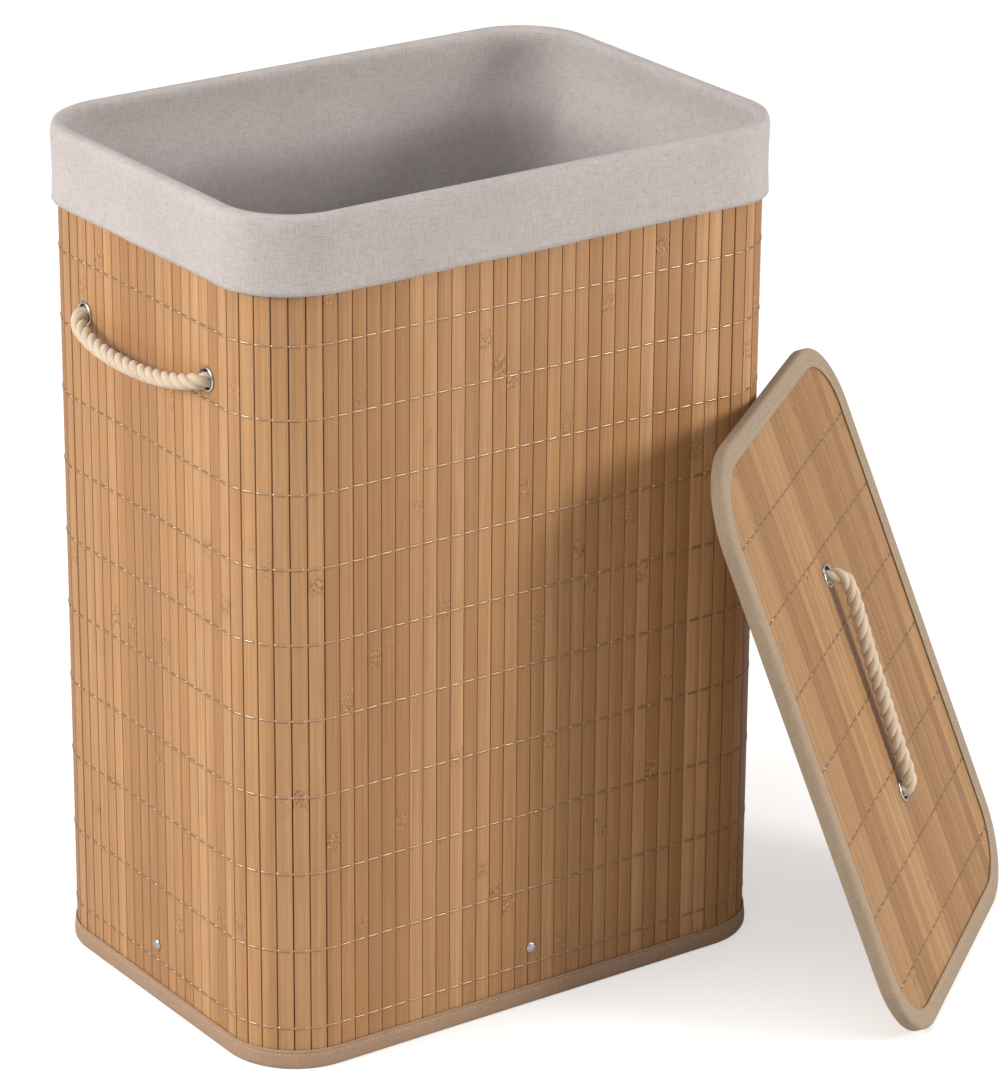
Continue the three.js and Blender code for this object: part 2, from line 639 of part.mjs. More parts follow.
lid.position.z = (LID_LENGTH / 2) * Math.cos(lean) + lidHalfThickness * Math.sin(lean);

// ---- The whole ----------------------------------------------------------------------

const laundryHamper = new THREE.Group();
laundryHamper.add(hamper, lid);

export default laundryHamper;
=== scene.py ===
"""The finished look of a bamboo laundry hamper and its loose lid, in metres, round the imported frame."""

import json
import math
import random

import bpy
import numpy as np
from mathutils import Matrix, Vector


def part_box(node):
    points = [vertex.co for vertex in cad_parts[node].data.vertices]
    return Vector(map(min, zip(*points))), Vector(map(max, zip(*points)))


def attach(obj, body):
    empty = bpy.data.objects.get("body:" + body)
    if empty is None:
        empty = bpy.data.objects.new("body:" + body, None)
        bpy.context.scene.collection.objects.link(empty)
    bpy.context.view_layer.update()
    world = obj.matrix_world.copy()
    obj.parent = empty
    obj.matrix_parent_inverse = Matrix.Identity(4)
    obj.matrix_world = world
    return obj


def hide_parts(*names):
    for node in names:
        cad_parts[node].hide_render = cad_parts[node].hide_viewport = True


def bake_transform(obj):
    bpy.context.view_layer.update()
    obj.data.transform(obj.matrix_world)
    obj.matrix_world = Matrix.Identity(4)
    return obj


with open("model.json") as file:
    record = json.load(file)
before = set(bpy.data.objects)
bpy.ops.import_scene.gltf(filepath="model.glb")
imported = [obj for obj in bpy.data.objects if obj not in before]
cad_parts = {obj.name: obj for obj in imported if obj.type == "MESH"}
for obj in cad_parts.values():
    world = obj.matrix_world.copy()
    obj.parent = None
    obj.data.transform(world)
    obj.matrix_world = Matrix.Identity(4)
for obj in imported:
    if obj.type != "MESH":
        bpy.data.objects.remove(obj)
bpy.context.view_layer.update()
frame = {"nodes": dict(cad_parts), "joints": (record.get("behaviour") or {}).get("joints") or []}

MM = 0.001
UP = Vector((0, 0, 1))


# ---- Places read from the frame ------------------------------------------------------------


def centre_of(node):
    low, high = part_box(node)
    return (low + high) / 2


def joint(name):
    return next(j for j in frame["joints"] if j["name"] == name)


def span_along(node, origin, axis):
    """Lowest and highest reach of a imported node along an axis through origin."""
    reach = [(v.co - origin).dot(axis) for v in frame["nodes"][node].data.vertices]
    return min(reach), max(reach)


HALF_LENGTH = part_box("slat_wall_right")[1].x
HALF_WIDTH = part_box("slat_wall_rear")[1].y
CORNER_RADIUS = round(HALF_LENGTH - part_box("slat_wall_front")[1].x, 3)
SLAT_THICKNESS = HALF_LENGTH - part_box("slat_wall_right")[0].x
MAT_LOW, MAT_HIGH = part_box("slat_wall_front")[0].z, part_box("slat_wall_front")[1].z
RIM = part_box("liner_bag")[1].z
WEAVE_NODES = sorted(n for n in frame["nodes"] if n.startswith("weave_cord"))
WEAVE_HEIGHTS = [centre_of(n).z for n in WEAVE_NODES]
SIDES = ("left", "right")
ENDS = ("rear", "front")

# The lid's own axes: X out of its slats, Y along its foot and Z up its slats.
lid_joint = joint("lid_rope_swing")
LID_SLOPE = Vector(lid_joint["axis"]).normalized()
LID_SIDEWAYS = LID_SLOPE.cross(UP).normalized()
LID_NORMAL = LID_SIDEWAYS.cross(LID_SLOPE)
lid_pivot = Vector(lid_joint["pos_m"])
LID_FACE = span_along("lid_slat_mat", lid_pivot, LID_NORMAL)[1]
LID_BACK = span_along("lid_backing_board", lid_pivot, LID_NORMAL)[0]
LID_CENTRE = lid_pivot + LID_NORMAL * (LID_FACE + LID_BACK) / 2
LID_HALF_CORE = (LID_FACE - LID_BACK) / 2
LID_HALF_LENGTH = span_along("lid_binding", LID_CENTRE, LID_SLOPE)[1]
LID_HALF_WIDTH = span_along("lid_binding", LID_CENTRE, LID_SIDEWAYS)[1]
LID_RADIUS = CORNER_RADIUS + LID_HALF_LENGTH - HALF_LENGTH
LID_AXES = Matrix((LID_NORMAL, LID_SIDEWAYS, LID_SLOPE)).transposed()
LID_PLACE = Matrix.Translation(LID_CENTRE) @ LID_AXES.to_4x4()
LID_EYELETS = [span_along(f"lid_eyelet_{end}", LID_CENTRE, LID_SLOPE) for end in ("upper", "lower")]
LID_EYELET_HEIGHTS = [(low + high) / 2 for low, high in LID_EYELETS]
ROPE_STANDOFF = joint("right_rope_swing")["pos_m"][0] - HALF_LENGTH

# ---- Sizes of the finish -------------------------------------------------------------------

SLAT_PITCH = 11 * MM
SLAT_GAP = 0.24 * MM
LID_SLAT_GAP = 0.12 * MM
SLAT_BOW = 0.14 * MM  # how far a slat sways from straight
LID_SLAT_BOW = 0.12 * MM
THREAD_RADIUS = 0.86 * MM  # half of a thread's height
LID_THREAD_RADIUS = 0.72 * MM
THREAD_FLATNESS = 0.5  # a thread's thickness as a share of its height
THREAD_DIP = 1.7 * MM  # how far a thread sinks into the gap between two slats
LID_THREAD_DIP = 1.5 * MM
POINTS_PER_SLAT = 10  # steps of a thread over one slat
LID_ROW_TOP = 154.5 * MM  # highest row of thread on the lid, above its middle
LID_ROW_PITCH = 54.6 * MM
LID_ROWS = 7
ROPE_RADIUS = 5.5 * MM
ROPE_STEP = 1.3 * MM  # spacing of the rings along a strand
ROPE_LAY = 28 * MM  # length of one turn of the rope's strands
KNOT_BACK = 10.5 * MM  # middle of a knot behind the outside of the wall
LID_KNOT_BACK = 13.4 * MM  # likewise, behind the lid's slats
EYELET_HOLE = 7.45 * MM  # radius of the hole drilled for an eyelet
RIVET_HOLE = 2.1 * MM
CLOTH = 1.2 * MM  # thickness of the liner
HEM_FOLD = 9 * MM  # height of the cuff's hem, up to its line of stitches
STITCH_PITCH = 3.1 * MM
HEM_STITCH_PITCH = 3.4 * MM

# Routes of the ropes between their swing points, as in the part's source: along the line of
# the eyelets from its middle, out from the swing axis, and up or down.
HANDLE_ROUTE = [
    (0.077, 0, 0),
    (0.070, 0.0017, -0.0046),
    (0.058, 0.0039, -0.0080),
    (0.042, 0.0055, -0.0103),
    (0.022, 0.0063, -0.0115),
    (0, 0.0063, -0.0115),
    (-0.022, 0.0059, -0.0104),
    (-0.042, 0.0047, -0.0081),
    (-0.058, 0.0031, -0.0052),
    (-0.070, 0.0013, -0.0022),
    (-0.077, 0, 0),
]
LID_ROUTE = [
    (0.082, 0, 0),
    (0.078, 0.0032, 0),
    (0.070, 0.0054, 0),
    (0.056, 0.0050, 0),
    (0.038, 0.0038, 0),
    (0.018, 0.0026, 0),
    (-0.004, 0.0018, 0),
    (-0.028, 0.0010, 0),
    (-0.052, 0.0004, 0),
    (-0.072, 0, 0),
    (-0.082, 0, 0),
]


# ---- Node trees ----------------------------------------------------------------------------


def srgb(red, green, blue):
    """A display colour from 0 to 255 as linear RGBA."""
    def linear(value):
        value /= 255
        return value / 12.92 if value <= 0.04045 else ((value + 0.055) / 1.055) ** 2.4

    return (linear(red), linear(green), linear(blue), 1)


def add(tree, kind, inputs=None, **settings):
    """A new node in a tree, with its settings, input values and links."""
    node = tree.nodes.new(kind)
    for name, value in settings.items():
        setattr(node, name, value)
    for key, value in (inputs or {}).items():
        if isinstance(value, bpy.types.NodeSocket):
            tree.links.new(value, node.inputs[key])
        else:
            node.inputs[key].default_value = value
    return node


def maths(tree, operation, *values, clamp=False):
    inputs = dict(enumerate(values))
    return add(tree, "ShaderNodeMath", inputs, operation=operation, use_clamp=clamp).outputs[0]


def vector(tree, x=0.0, y=0.0, z=0.0):
    return add(tree, "ShaderNodeCombineXYZ", {0: x, 1: y, 2: z}).outputs[0]


def vector_maths(tree, operation, *values):
    inputs = dict(enumerate(values))
    return add(tree, "ShaderNodeVectorMath", inputs, operation=operation).outputs[0]


def smooth_step(tree, value, low, high, start=0.0, end=1.0):
    """A value carried smoothly from low..high to start..end."""
    inputs = {"Value": value, "From Min": low, "From Max": high, "To Min": start, "To Max": end}
    return add(tree, "ShaderNodeMapRange", inputs, interpolation_type="SMOOTHSTEP").outputs[0]


def blend_colours(tree, share, first, second, mode="MIX"):
    node = add(tree, "ShaderNodeMix", data_type="RGBA", blend_type=mode)
    colours = [s for s in node.inputs if s.type == "RGBA"]
    for socket, value in zip([node.inputs[0], *colours], [share, first, second]):
        if isinstance(value, bpy.types.NodeSocket):
            tree.links.new(value, socket)
        else:
            socket.default_value = value
    return next(s for s in node.outputs if s.type == "RGBA")


def noise(tree, place, scale, detail=2.0, roughness=0.5):
    inputs = {"Vector": place, "Scale": scale, "Detail": detail, "Roughness": roughness}
    return add(tree, "ShaderNodeTexNoise", inputs).outputs["Fac"]


def blend_values(tree, share, first, second):
    inputs = {0: share, 2: first, 3: second}
    return add(tree, "ShaderNodeMix", inputs, data_type="FLOAT").outputs[0]


def attribute(tree, name, output="Fac"):
    return add(tree, "ShaderNodeAttribute", attribute_name=name).outputs[output]


def new_material(name, **shader):
    """A material, its tree and its shader, with the shader's uniform values set on it."""
    material = bpy.data.materials.new(name)
    material.use_nodes = True
    tree = material.node_tree
    principled = tree.nodes["Principled BSDF"]
    for socket, value in shader.items():
        principled.inputs[socket.replace("_", " ")].default_value = value
    return material, tree, principled


def raise_surface(tree, shader, height, distance, strength=1.0):
    inputs = {"Height": height, "Distance": distance, "Strength": strength}
    bump = add(tree, "ShaderNodeBump", inputs)
    tree.links.new(bump.outputs[0], shader.inputs["Normal"])


# ---- Finishes ------------------------------------------------------------------------------


def bamboo_finish(name, light, dark, streak, warm_tone, painted_gap_shade):
    """Split bamboo: long fibres, a tone for each slat, and speckled knuckles here and there."""
    material, tree, shader = new_material(name, Roughness=0.5)
    across, along = attribute(tree, "slat_across"), attribute(tree, "slat_along")
    tone, shift = attribute(tree, "slat_tone"), attribute(tree, "slat_shift")
    far = maths(tree, "MULTIPLY", tone, 40.0)
    place = vector(tree, across, along, far)

    def fibres(fine, long, detail):
        stretched = vector_maths(tree, "MULTIPLY", place, (fine, long, 1.0))
        return noise(tree, stretched, 1.0, detail, 0.6)

    broad = fibres(220.0, 2.5, 2.0)
    strands = fibres(900.0, 9.0, 3.0)
    hairs = fibres(3200.0, 26.0, 2.0)
    mottle = fibres(60.0, 11.0, 3.0)

    base = blend_colours(tree, tone, dark, light)
    soft = smooth_step(tree, broad, 0.3, 0.7)
    warm = maths(tree, "FRACT", maths(tree, "MULTIPLY", shift, 53.3))
    base = blend_colours(tree, maths(tree, "MULTIPLY", warm, 0.35), base, warm_tone)
    colour = blend_colours(tree, maths(tree, "MULTIPLY", soft, 0.4), base, streak)
    fine = smooth_step(tree, strands, 0.42, 0.62)
    colour = blend_colours(tree, maths(tree, "MULTIPLY", fine, 0.26), colour, streak)
    pale = smooth_step(tree, hairs, 0.5, 0.75, 0.0, 0.2)
    colour = blend_colours(tree, pale, colour, light)
    cloudy = smooth_step(tree, mottle, 0.35, 0.7, 0.0, 0.25)
    colour = blend_colours(tree, cloudy, colour, dark)

    # Knuckles: a ragged band across the slat, once in each spacing of its length.
    spacing, half_band, raggedness = 380 * MM, 6.6 * MM, 11 * MM
    turns = maths(tree, "ADD", maths(tree, "DIVIDE", along, spacing), maths(tree, "MULTIPLY", shift, 7.0))
    middle = maths(tree, "SUBTRACT", maths(tree, "FRACT", turns), 0.5)
    ragged = maths(tree, "MULTIPLY", maths(tree, "SUBTRACT", fibres(420.0, 60.0, 1.0), 0.5), raggedness)
    distance = maths(tree, "ABSOLUTE", maths(tree, "ADD", maths(tree, "MULTIPLY", middle, spacing), ragged))
    band = smooth_step(tree, distance, half_band * 0.75, half_band * 1.35, 1.0, 0.0)
    chance = maths(tree, "FRACT", maths(tree, "MULTIPLY", shift, 91.7))
    band = maths(tree, "MULTIPLY", band, smooth_step(tree, chance, 0.1, 0.7, 0.25, 1.0))
    speck_place = vector_maths(tree, "MULTIPLY", place, (640.0, 430.0, 3.0))
    specks = noise(tree, speck_place, 1.0, 3.0, 0.75)
    dark_specks = maths(tree, "MULTIPLY", smooth_step(tree, specks, 0.54, 0.64), band)
    pale_specks = maths(tree, "MULTIPLY", smooth_step(tree, specks, 0.46, 0.36), band)
    colour = blend_colours(tree, maths(tree, "MULTIPLY", band, 0.35), colour, dark)
    colour = blend_colours(tree, maths(tree, "MULTIPLY", dark_specks, 0.9), colour, srgb(98, 62, 30))
    colour = blend_colours(tree, maths(tree, "MULTIPLY", pale_specks, 0.5), colour, srgb(224, 188, 136))

    # Painted shade: the slat is darkened towards its long edges, so the gaps between slats read darker.
    edge = smooth_step(tree, maths(tree, "ABSOLUTE", across), SLAT_PITCH * 0.43, SLAT_PITCH * 0.475)
    colour = blend_colours(tree, maths(tree, "MULTIPLY", edge, painted_gap_shade), colour, srgb(108, 68, 36))
    tree.links.new(colour, shader.inputs["Base Color"])
    rough = smooth_step(tree, strands, 0.3, 0.7, 0.42, 0.6)
    tree.links.new(rough, shader.inputs["Roughness"])
    knuckle_relief = maths(tree, "MULTIPLY", specks, band)
    relief = maths(tree, "ADD", maths(tree, "MULTIPLY", strands, 0.5), knuckle_relief)
    raise_surface(tree, shader, relief, 0.00025, 0.6)
    return material


def thread_finish():
    """Twisted, glossy weave thread."""
    material, tree, shader = new_material(
        "weave_thread", Roughness=0.38, IOR=2.6, Specular_IOR_Level=0.85, Specular_Tint=srgb(255, 232, 204))
    along, around = attribute(tree, "thread_along"), attribute(tree, "thread_around")
    turn = maths(tree, "ADD", maths(tree, "MULTIPLY", along, 700.0), maths(tree, "MULTIPLY", around, 2.0))
    ply = maths(tree, "PINGPONG", turn, 0.5)
    place = vector(tree, maths(tree, "MULTIPLY", along, 90.0), around, 0.0)
    uneven = noise(tree, place, 1.0, 2.0)
    base = blend_colours(tree, smooth_step(tree, uneven, 0.3, 0.7), srgb(98, 60, 30), srgb(124, 82, 46))
    # Painted shade: the thread is darkened in the grooves between its twisted plies.
    colour = blend_colours(tree, smooth_step(tree, ply, 0.0, 0.2, 0.2, 0.0), base, srgb(70, 42, 20))
    tree.links.new(colour, shader.inputs["Base Color"])
    raise_surface(tree, shader, ply, 0.0001, 0.05)
    return material


def weave_pattern(tree, place, count, wander):
    """The height of a plain weave over a flat place, with `count` threads to the metre."""
    drift = noise(tree, vector_maths(tree, "MULTIPLY", place, (60.0, 60.0, 60.0)), 1.0, 1.0)
    drift = maths(tree, "MULTIPLY", maths(tree, "SUBTRACT", drift, 0.5), wander)
    parts = add(tree, "ShaderNodeSeparateXYZ", {0: place})
    u = maths(tree, "ADD", maths(tree, "MULTIPLY", parts.outputs[0], count), drift)
    v = maths(tree, "ADD", maths(tree, "MULTIPLY", parts.outputs[1], count), drift)
    waves = [maths(tree, "SINE", maths(tree, "MULTIPLY", w, 2 * math.pi)) for w in (u, v)]
    ridges = [maths(tree, "ABSOLUTE", w) for w in waves]
    over = maths(tree, "MULTIPLY", *waves)
    share = smooth_step(tree, over, -0.3, 0.3)
    return blend_values(tree, share, ridges[0], ridges[1])


def cloth_finish(name, pale, deep, threads, slub, roughness=0.92):
    """Woven cloth on the piece's own UV, in metres, with slubs along both its threads."""
    material, tree, shader = new_material(name, Roughness=roughness, Sheen_Weight=0.12, Sheen_Roughness=0.5)
    place = add(tree, "ShaderNodeUVMap", uv_map="UVMap").outputs[0]
    height = weave_pattern(tree, place, threads, 0.8)

    def slubs(across, along):
        stretched = vector_maths(tree, "MULTIPLY", place, (across, along, 1.0))
        return smooth_step(tree, noise(tree, stretched, 1.0, 2.0, 0.6), 0.42, 0.72)

    fine, long = threads * 0.8, threads * 0.09
    slub_height = maths(tree, "MAXIMUM", slubs(fine, long), slubs(long, fine))
    cloud = noise(tree, vector_maths(tree, "MULTIPLY", place, (14.0, 14.0, 14.0)), 1.0, 3.0)
    colour = blend_colours(tree, maths(tree, "MULTIPLY", slub_height, slub), pale, deep)
    # Painted shade: the low places of the weave are darkened.
    shade_in_hollows = smooth_step(tree, height, 0.0, 0.5, 0.4, 0.0)
    colour = blend_colours(tree, shade_in_hollows, colour, deep)
    colour = blend_colours(tree, smooth_step(tree, cloud, 0.3, 0.8, 0.0, 0.18), colour, deep)
    tree.links.new(colour, shader.inputs["Base Color"])
    relief = maths(tree, "ADD", height, maths(tree, "MULTIPLY", slub_height, 0.7))
    raise_surface(tree, shader, relief, 0.0003, 0.55)
    return material


def rope_finish():
    """Soft natural cotton, with fine yarns along each strand."""
    material, tree, shader = new_material(
        "cotton_rope", Roughness=0.95, Sheen_Weight=0.25, Sheen_Roughness=0.45)
    place = add(tree, "ShaderNodeUVMap", uv_map="UVMap").outputs[0]
    parts = add(tree, "ShaderNodeSeparateXYZ", {0: place})
    around, along = parts.outputs[0], parts.outputs[1]
    twisted = maths(tree, "ADD", around, maths(tree, "MULTIPLY", along, -24.0))
    yarn_place = vector(
        tree, maths(tree, "MULTIPLY", twisted, 26.0), maths(tree, "MULTIPLY", along, 60.0), 0.0)
    yarns = noise(tree, yarn_place, 1.0, 3.0, 0.6)
    cloud = noise(tree, vector(tree, around, maths(tree, "MULTIPLY", along, 120.0), 0.0), 1.0, 2.0)
    yarn = smooth_step(tree, yarns, 0.35, 0.65)
    colour = blend_colours(tree, yarn, srgb(192, 173, 150), srgb(214, 198, 177))
    colour = blend_colours(tree, smooth_step(tree, cloud, 0.35, 0.8, 0.0, 0.35), colour, srgb(172, 150, 121))
    # Painted shade: the grooves between the strands are darkened.
    shade_in_hollows = attribute(tree, "rope_hollow")
    colour = blend_colours(tree, maths(tree, "MULTIPLY", shade_in_hollows, 0.75), colour, srgb(150, 118, 80))
    tree.links.new(colour, shader.inputs["Base Color"])
    raise_surface(tree, shader, yarns, 0.0003, 0.7)
    return material


def stitch_finish():
    """Sewing cotton, a little paler than what it holds."""
    material, tree, shader = new_material("sewing_cotton", Roughness=0.8)
    place = add(tree, "ShaderNodeTexCoord").outputs["Object"]
    twist = noise(tree, place, 2600.0, 2.0)
    colour = blend_colours(tree, twist, srgb(182, 162, 138), srgb(214, 198, 176))
    tree.links.new(colour, shader.inputs["Base Color"])
    return material


def metal_finish(name, colour, roughness, scratches):
    """Bright metal, dulled and roughened in fine worn patches."""
    material, tree, shader = new_material(name, Metallic=1.0)
    place = add(tree, "ShaderNodeTexCoord").outputs["Object"]
    wear = noise(tree, place, scratches, 4.0, 0.7)
    worn = smooth_step(tree, wear, 0.45, 0.75, 0.0, 0.4)
    tree.links.new(blend_colours(tree, worn, srgb(*colour), srgb(120, 116, 110)), shader.inputs["Base Color"])
    rough = smooth_step(tree, wear, 0.3, 0.8, roughness, roughness + 0.2)
    tree.links.new(rough, shader.inputs["Roughness"])
    raise_surface(tree, shader, wear, 0.00005, 0.3)
    return material


def nylon_finish():
    """Moulded black nylon with a fine spark-eroded grain."""
    material, tree, shader = new_material("moulded_nylon")
    place = add(tree, "ShaderNodeTexCoord").outputs["Object"]
    grain = noise(tree, place, 1800.0, 3.0, 0.7)
    scuffs = noise(tree, place, 160.0, 4.0, 0.6)
    colour = blend_colours(tree, smooth_step(tree, scuffs, 0.5, 0.8), srgb(44, 42, 40), srgb(70, 67, 63))
    tree.links.new(colour, shader.inputs["Base Color"])
    tree.links.new(smooth_step(tree, grain, 0.3, 0.7, 0.5, 0.7), shader.inputs["Roughness"])
    raise_surface(tree, shader, grain, 0.0001, 0.5)
    return material


def felt_finish():
    """Non-woven cover of the base panel and the lid's board, with a pressed point pattern."""
    material, tree, shader = new_material("felted_cover", Roughness=0.95, Sheen_Weight=0.15)
    place = add(tree, "ShaderNodeTexCoord").outputs["Object"]
    fibres = noise(tree, place, 900.0, 4.0, 0.75)
    cloud = noise(tree, place, 35.0, 3.0)
    points = add(tree, "ShaderNodeTexVoronoi", {"Vector": place, "Scale": 420.0, "Randomness": 0.15})
    pits = smooth_step(tree, points.outputs["Distance"], 0.12, 0.3, 1.0, 0.0)
    tuft = smooth_step(tree, fibres, 0.35, 0.7)
    colour = blend_colours(tree, tuft, srgb(196, 180, 152), srgb(222, 208, 184))
    colour = blend_colours(tree, smooth_step(tree, cloud, 0.3, 0.8, 0.0, 0.3), colour, srgb(186, 168, 138))
    # Painted shade: the pressed pits are darkened.
    colour = blend_colours(tree, maths(tree, "MULTIPLY", pits, 0.35), colour, srgb(160, 142, 112))
    tree.links.new(colour, shader.inputs["Base Color"])
    raise_surface(tree, shader, maths(tree, "SUBTRACT", fibres, pits), 0.0003, 0.5)
    return material


def floor_finish():
    """Matt pale grey paint."""
    material, tree, shader = new_material("studio_floor", Roughness=0.9)
    place = add(tree, "ShaderNodeTexCoord").outputs["Object"]
    cloud = noise(tree, place, 1.5, 2.0)
    colour = blend_colours(tree, cloud, srgb(201, 200, 198), srgb(206, 205, 204))
    tree.links.new(colour, shader.inputs["Base Color"])
    # Seen straight on, the floor glows a little, so that it stays white without lighting the hamper.
    seen = add(tree, "ShaderNodeLightPath").outputs["Is Camera Ray"]
    tree.links.new(maths(tree, "MULTIPLY", seen, 0.5), shader.inputs["Emission Strength"])
    shader.inputs["Emission Color"].default_value = (1, 1, 1, 1)
    return material


# The last value given to each is how strongly the slats are painted with shade along their long edges.
BAMBOO = bamboo_finish(
    "split_bamboo", srgb(199, 155, 111), srgb(156, 111, 69), srgb(143, 100, 59), srgb(194, 142, 84), 0.3)
LID_BAMBOO = bamboo_finish(
    "split_bamboo_lid", srgb(188, 150, 106), srgb(144, 104, 66), srgb(127, 90, 52), srgb(171, 125, 76), 0.1)
THREAD = thread_finish()
TAPE = cloth_finish("cotton_tape", srgb(178, 146, 120), srgb(134, 105, 80), 1100.0, 0.35)
LID_TAPE = cloth_finish("lid_cotton_tape", srgb(171, 150, 127), srgb(122, 102, 80), 1100.0, 0.35)
LINEN = cloth_finish("liner_linen", srgb(199, 192, 190), srgb(151, 141, 137), 1150.0, 0.45)
ROPE = rope_finish()
STITCHING = stitch_finish()
CHROME = metal_finish("polished_nickel", (206, 208, 210), 0.16, 260.0)
STEEL = metal_finish("drawn_wire", (150, 154, 158), 0.34, 500.0)
NYLON = nylon_finish()
FELT = felt_finish()


# ---- Shared making -------------------------------------------------------------------------


def new_object(name, mesh):
    made = bpy.data.objects.new(name, mesh)
    bpy.context.scene.collection.objects.link(made)
    return made


def new_mesh(name, points, faces=(), edges=(), material=None, smooth=True):
    mesh = bpy.data.meshes.new(name)
    mesh.from_pydata([tuple(p) for p in points], list(edges), list(faces))
    if material:
        mesh.materials.append(material)
    mesh.polygons.foreach_set("use_smooth", [smooth] * len(mesh.polygons))
    mesh.update()
    return mesh


def set_uv(mesh, corner_uv):
    layer = mesh.uv_layers.new(name="UVMap")
    layer.data.foreach_set("uv", np.asarray(corner_uv, np.float32).ravel())


def store(mesh, name, values, kind="FLOAT", domain="POINT"):
    layer = mesh.attributes.new(name, kind, domain)
    key = "value" if kind == "FLOAT" else "vector"
    layer.data.foreach_set(key, np.asarray(values, np.float32).ravel())


def evaluated_mesh(made):
    """The mesh of an object with its modifiers applied; the object itself is removed."""
    graph = bpy.context.evaluated_depsgraph_get()
    mesh = bpy.data.meshes.new_from_object(made.evaluated_get(graph), depsgraph=graph)
    bpy.data.objects.remove(made)
    return mesh


def grow(name, base_mesh, tree, values, place=None):
    """A piece that a geometry tree makes from a base mesh, as a plain mesh in its place."""
    base = new_object(name + "_base", base_mesh)
    modifier = base.modifiers.new(tree.name, "NODES")
    modifier.node_group = tree
    for item in tree.interface.items_tree:
        if item.item_type == "SOCKET" and item.in_out == "INPUT" and item.name in values:
            modifier[item.identifier] = values[item.name]
    mesh = evaluated_mesh(base)
    mesh.name = name
    if place is not None:
        mesh.transform(place)
    return new_object(name, mesh)


def tree_with(name, **inputs):
    """A geometry tree with named inputs, its input node and its output node."""
    kinds = {
        float: "NodeSocketFloat",
        int: "NodeSocketInt",
        "object": "NodeSocketObject",
        "material": "NodeSocketMaterial",
    }
    tree = bpy.data.node_groups.new(name, "GeometryNodeTree")
    tree.interface.new_socket("Geometry", in_out="INPUT", socket_type="NodeSocketGeometry")
    for label, value in inputs.items():
        kind = kinds.get(value if isinstance(value, str) else type(value))
        socket = tree.interface.new_socket(label.replace("_", " "), in_out="INPUT", socket_type=kind)
        if not isinstance(value, str):
            socket.default_value = value
    tree.interface.new_socket("Geometry", in_out="OUTPUT", socket_type="NodeSocketGeometry")
    given = tree.nodes.new("NodeGroupInput").outputs
    result = tree.nodes.new("NodeGroupOutput").inputs[0]
    return tree, given, result


def rounded_outline(half_length, half_width, radius, offset, corner_steps):
    """Plan points of a rounded rectangle moved out by offset, anticlockwise from the right."""
    points = []
    for quarter, (sx, sy) in enumerate([(1, 1), (-1, 1), (-1, -1), (1, -1)]):
        for step in range(corner_steps + 1):
            angle = (quarter + step / corner_steps) * math.pi / 2
            x = sx * (half_length - radius) + (radius + offset) * math.cos(angle)
            y = sy * (half_width - radius) + (radius + offset) * math.sin(angle)
            points.append(Vector((x, y, 0)))
    return points


def hamper_outline(offset, corner_steps=20):
    """The outside of the slat wall in plan, moved out by offset."""
    return rounded_outline(HALF_LENGTH, HALF_WIDTH, CORNER_RADIUS, offset, corner_steps)


def lid_outline(offset, corner_steps=20):
    """The lid's outline in its own axes, anticlockwise seen from the side of its slats."""
    flat = rounded_outline(LID_HALF_LENGTH, LID_HALF_WIDTH, LID_RADIUS, offset, corner_steps)
    return [Vector((0, p.y, -p.x)) for p in flat]


def path_mesh(name, points, closed=True):
    count = len(points)
    edges = [(i, (i + 1) % count) for i in range(count if closed else count - 1)]
    return new_mesh(name, points, edges=edges)


def lathe(name, profile, sides=48, material=None):
    """A closed ring or a pin turned about Z from a run of (radius, height)."""
    points, faces = [], []
    solid = profile[0][0] == 0
    for radius, height in profile:
        for i in range(sides):
            angle = 2 * math.pi * i / sides
            points.append((radius * math.cos(angle), radius * math.sin(angle), height))
    rows = len(profile)
    for row in range(rows if not solid else rows - 1):
        below, above = row * sides, ((row + 1) % rows) * sides
        for i in range(sides):
            j = (i + 1) % sides
            faces.append((below + i, below + j, above + j, above + i))
    made = new_object(name, new_mesh(name, points, faces, material=material))
    made.modifiers.new("weld", "WELD").merge_threshold = 1e-6
    return new_object(name, evaluated_mesh(made))


# ---- Ropes ---------------------------------------------------------------------------------


def run_lengths(points):
    """How far along a line of points each of them is."""
    return np.concatenate([[0], np.cumsum([(b - a).length for a, b in zip(points, points[1:])])])


def curved_route(points, step):
    """Evenly spaced points on a smooth curve through the given points."""
    points = [Vector(p) for p in points]
    padded = [2 * points[0] - points[1], *points, 2 * points[-1] - points[-2]]
    fine = []
    for p0, p1, p2, p3 in zip(padded, padded[1:], padded[2:], padded[3:]):
        for i in range(24):
            t = i / 24
            fine.append(0.5 * (2 * p1 + (p2 - p0) * t + (2 * p0 - 5 * p1 + 4 * p2 - p3) * t**2
                               + (3 * p1 - p0 - 3 * p2 + p3) * t**3))
    fine.append(points[-1])
    lengths = run_lengths(fine)
    count = max(2, round(lengths[-1] / step))
    wanted = np.linspace(0, lengths[-1], count + 1)
    line = np.array([tuple(p) for p in fine])
    return np.stack([np.interp(wanted, lengths, line[:, k]) for k in range(3)], 1), wanted


def carried_frames(line):
    """Unit tangent and two side directions along a line, without twist."""
    tangents = np.gradient(line, axis=0)
    tangents /= np.linalg.norm(tangents, axis=1)[:, None]
    start = np.array([0, 0, 1.0]) if abs(tangents[0][2]) < 0.9 else np.array([1.0, 0, 0])
    side = np.cross(tangents[0], start)
    side /= np.linalg.norm(side)
    sides = []
    for tangent in tangents:
        side = side - tangent * (side @ tangent)
        side = side / np.linalg.norm(side)
        sides.append(side)
    sides = np.array(sides)
    return tangents, sides, np.cross(tangents, sides)


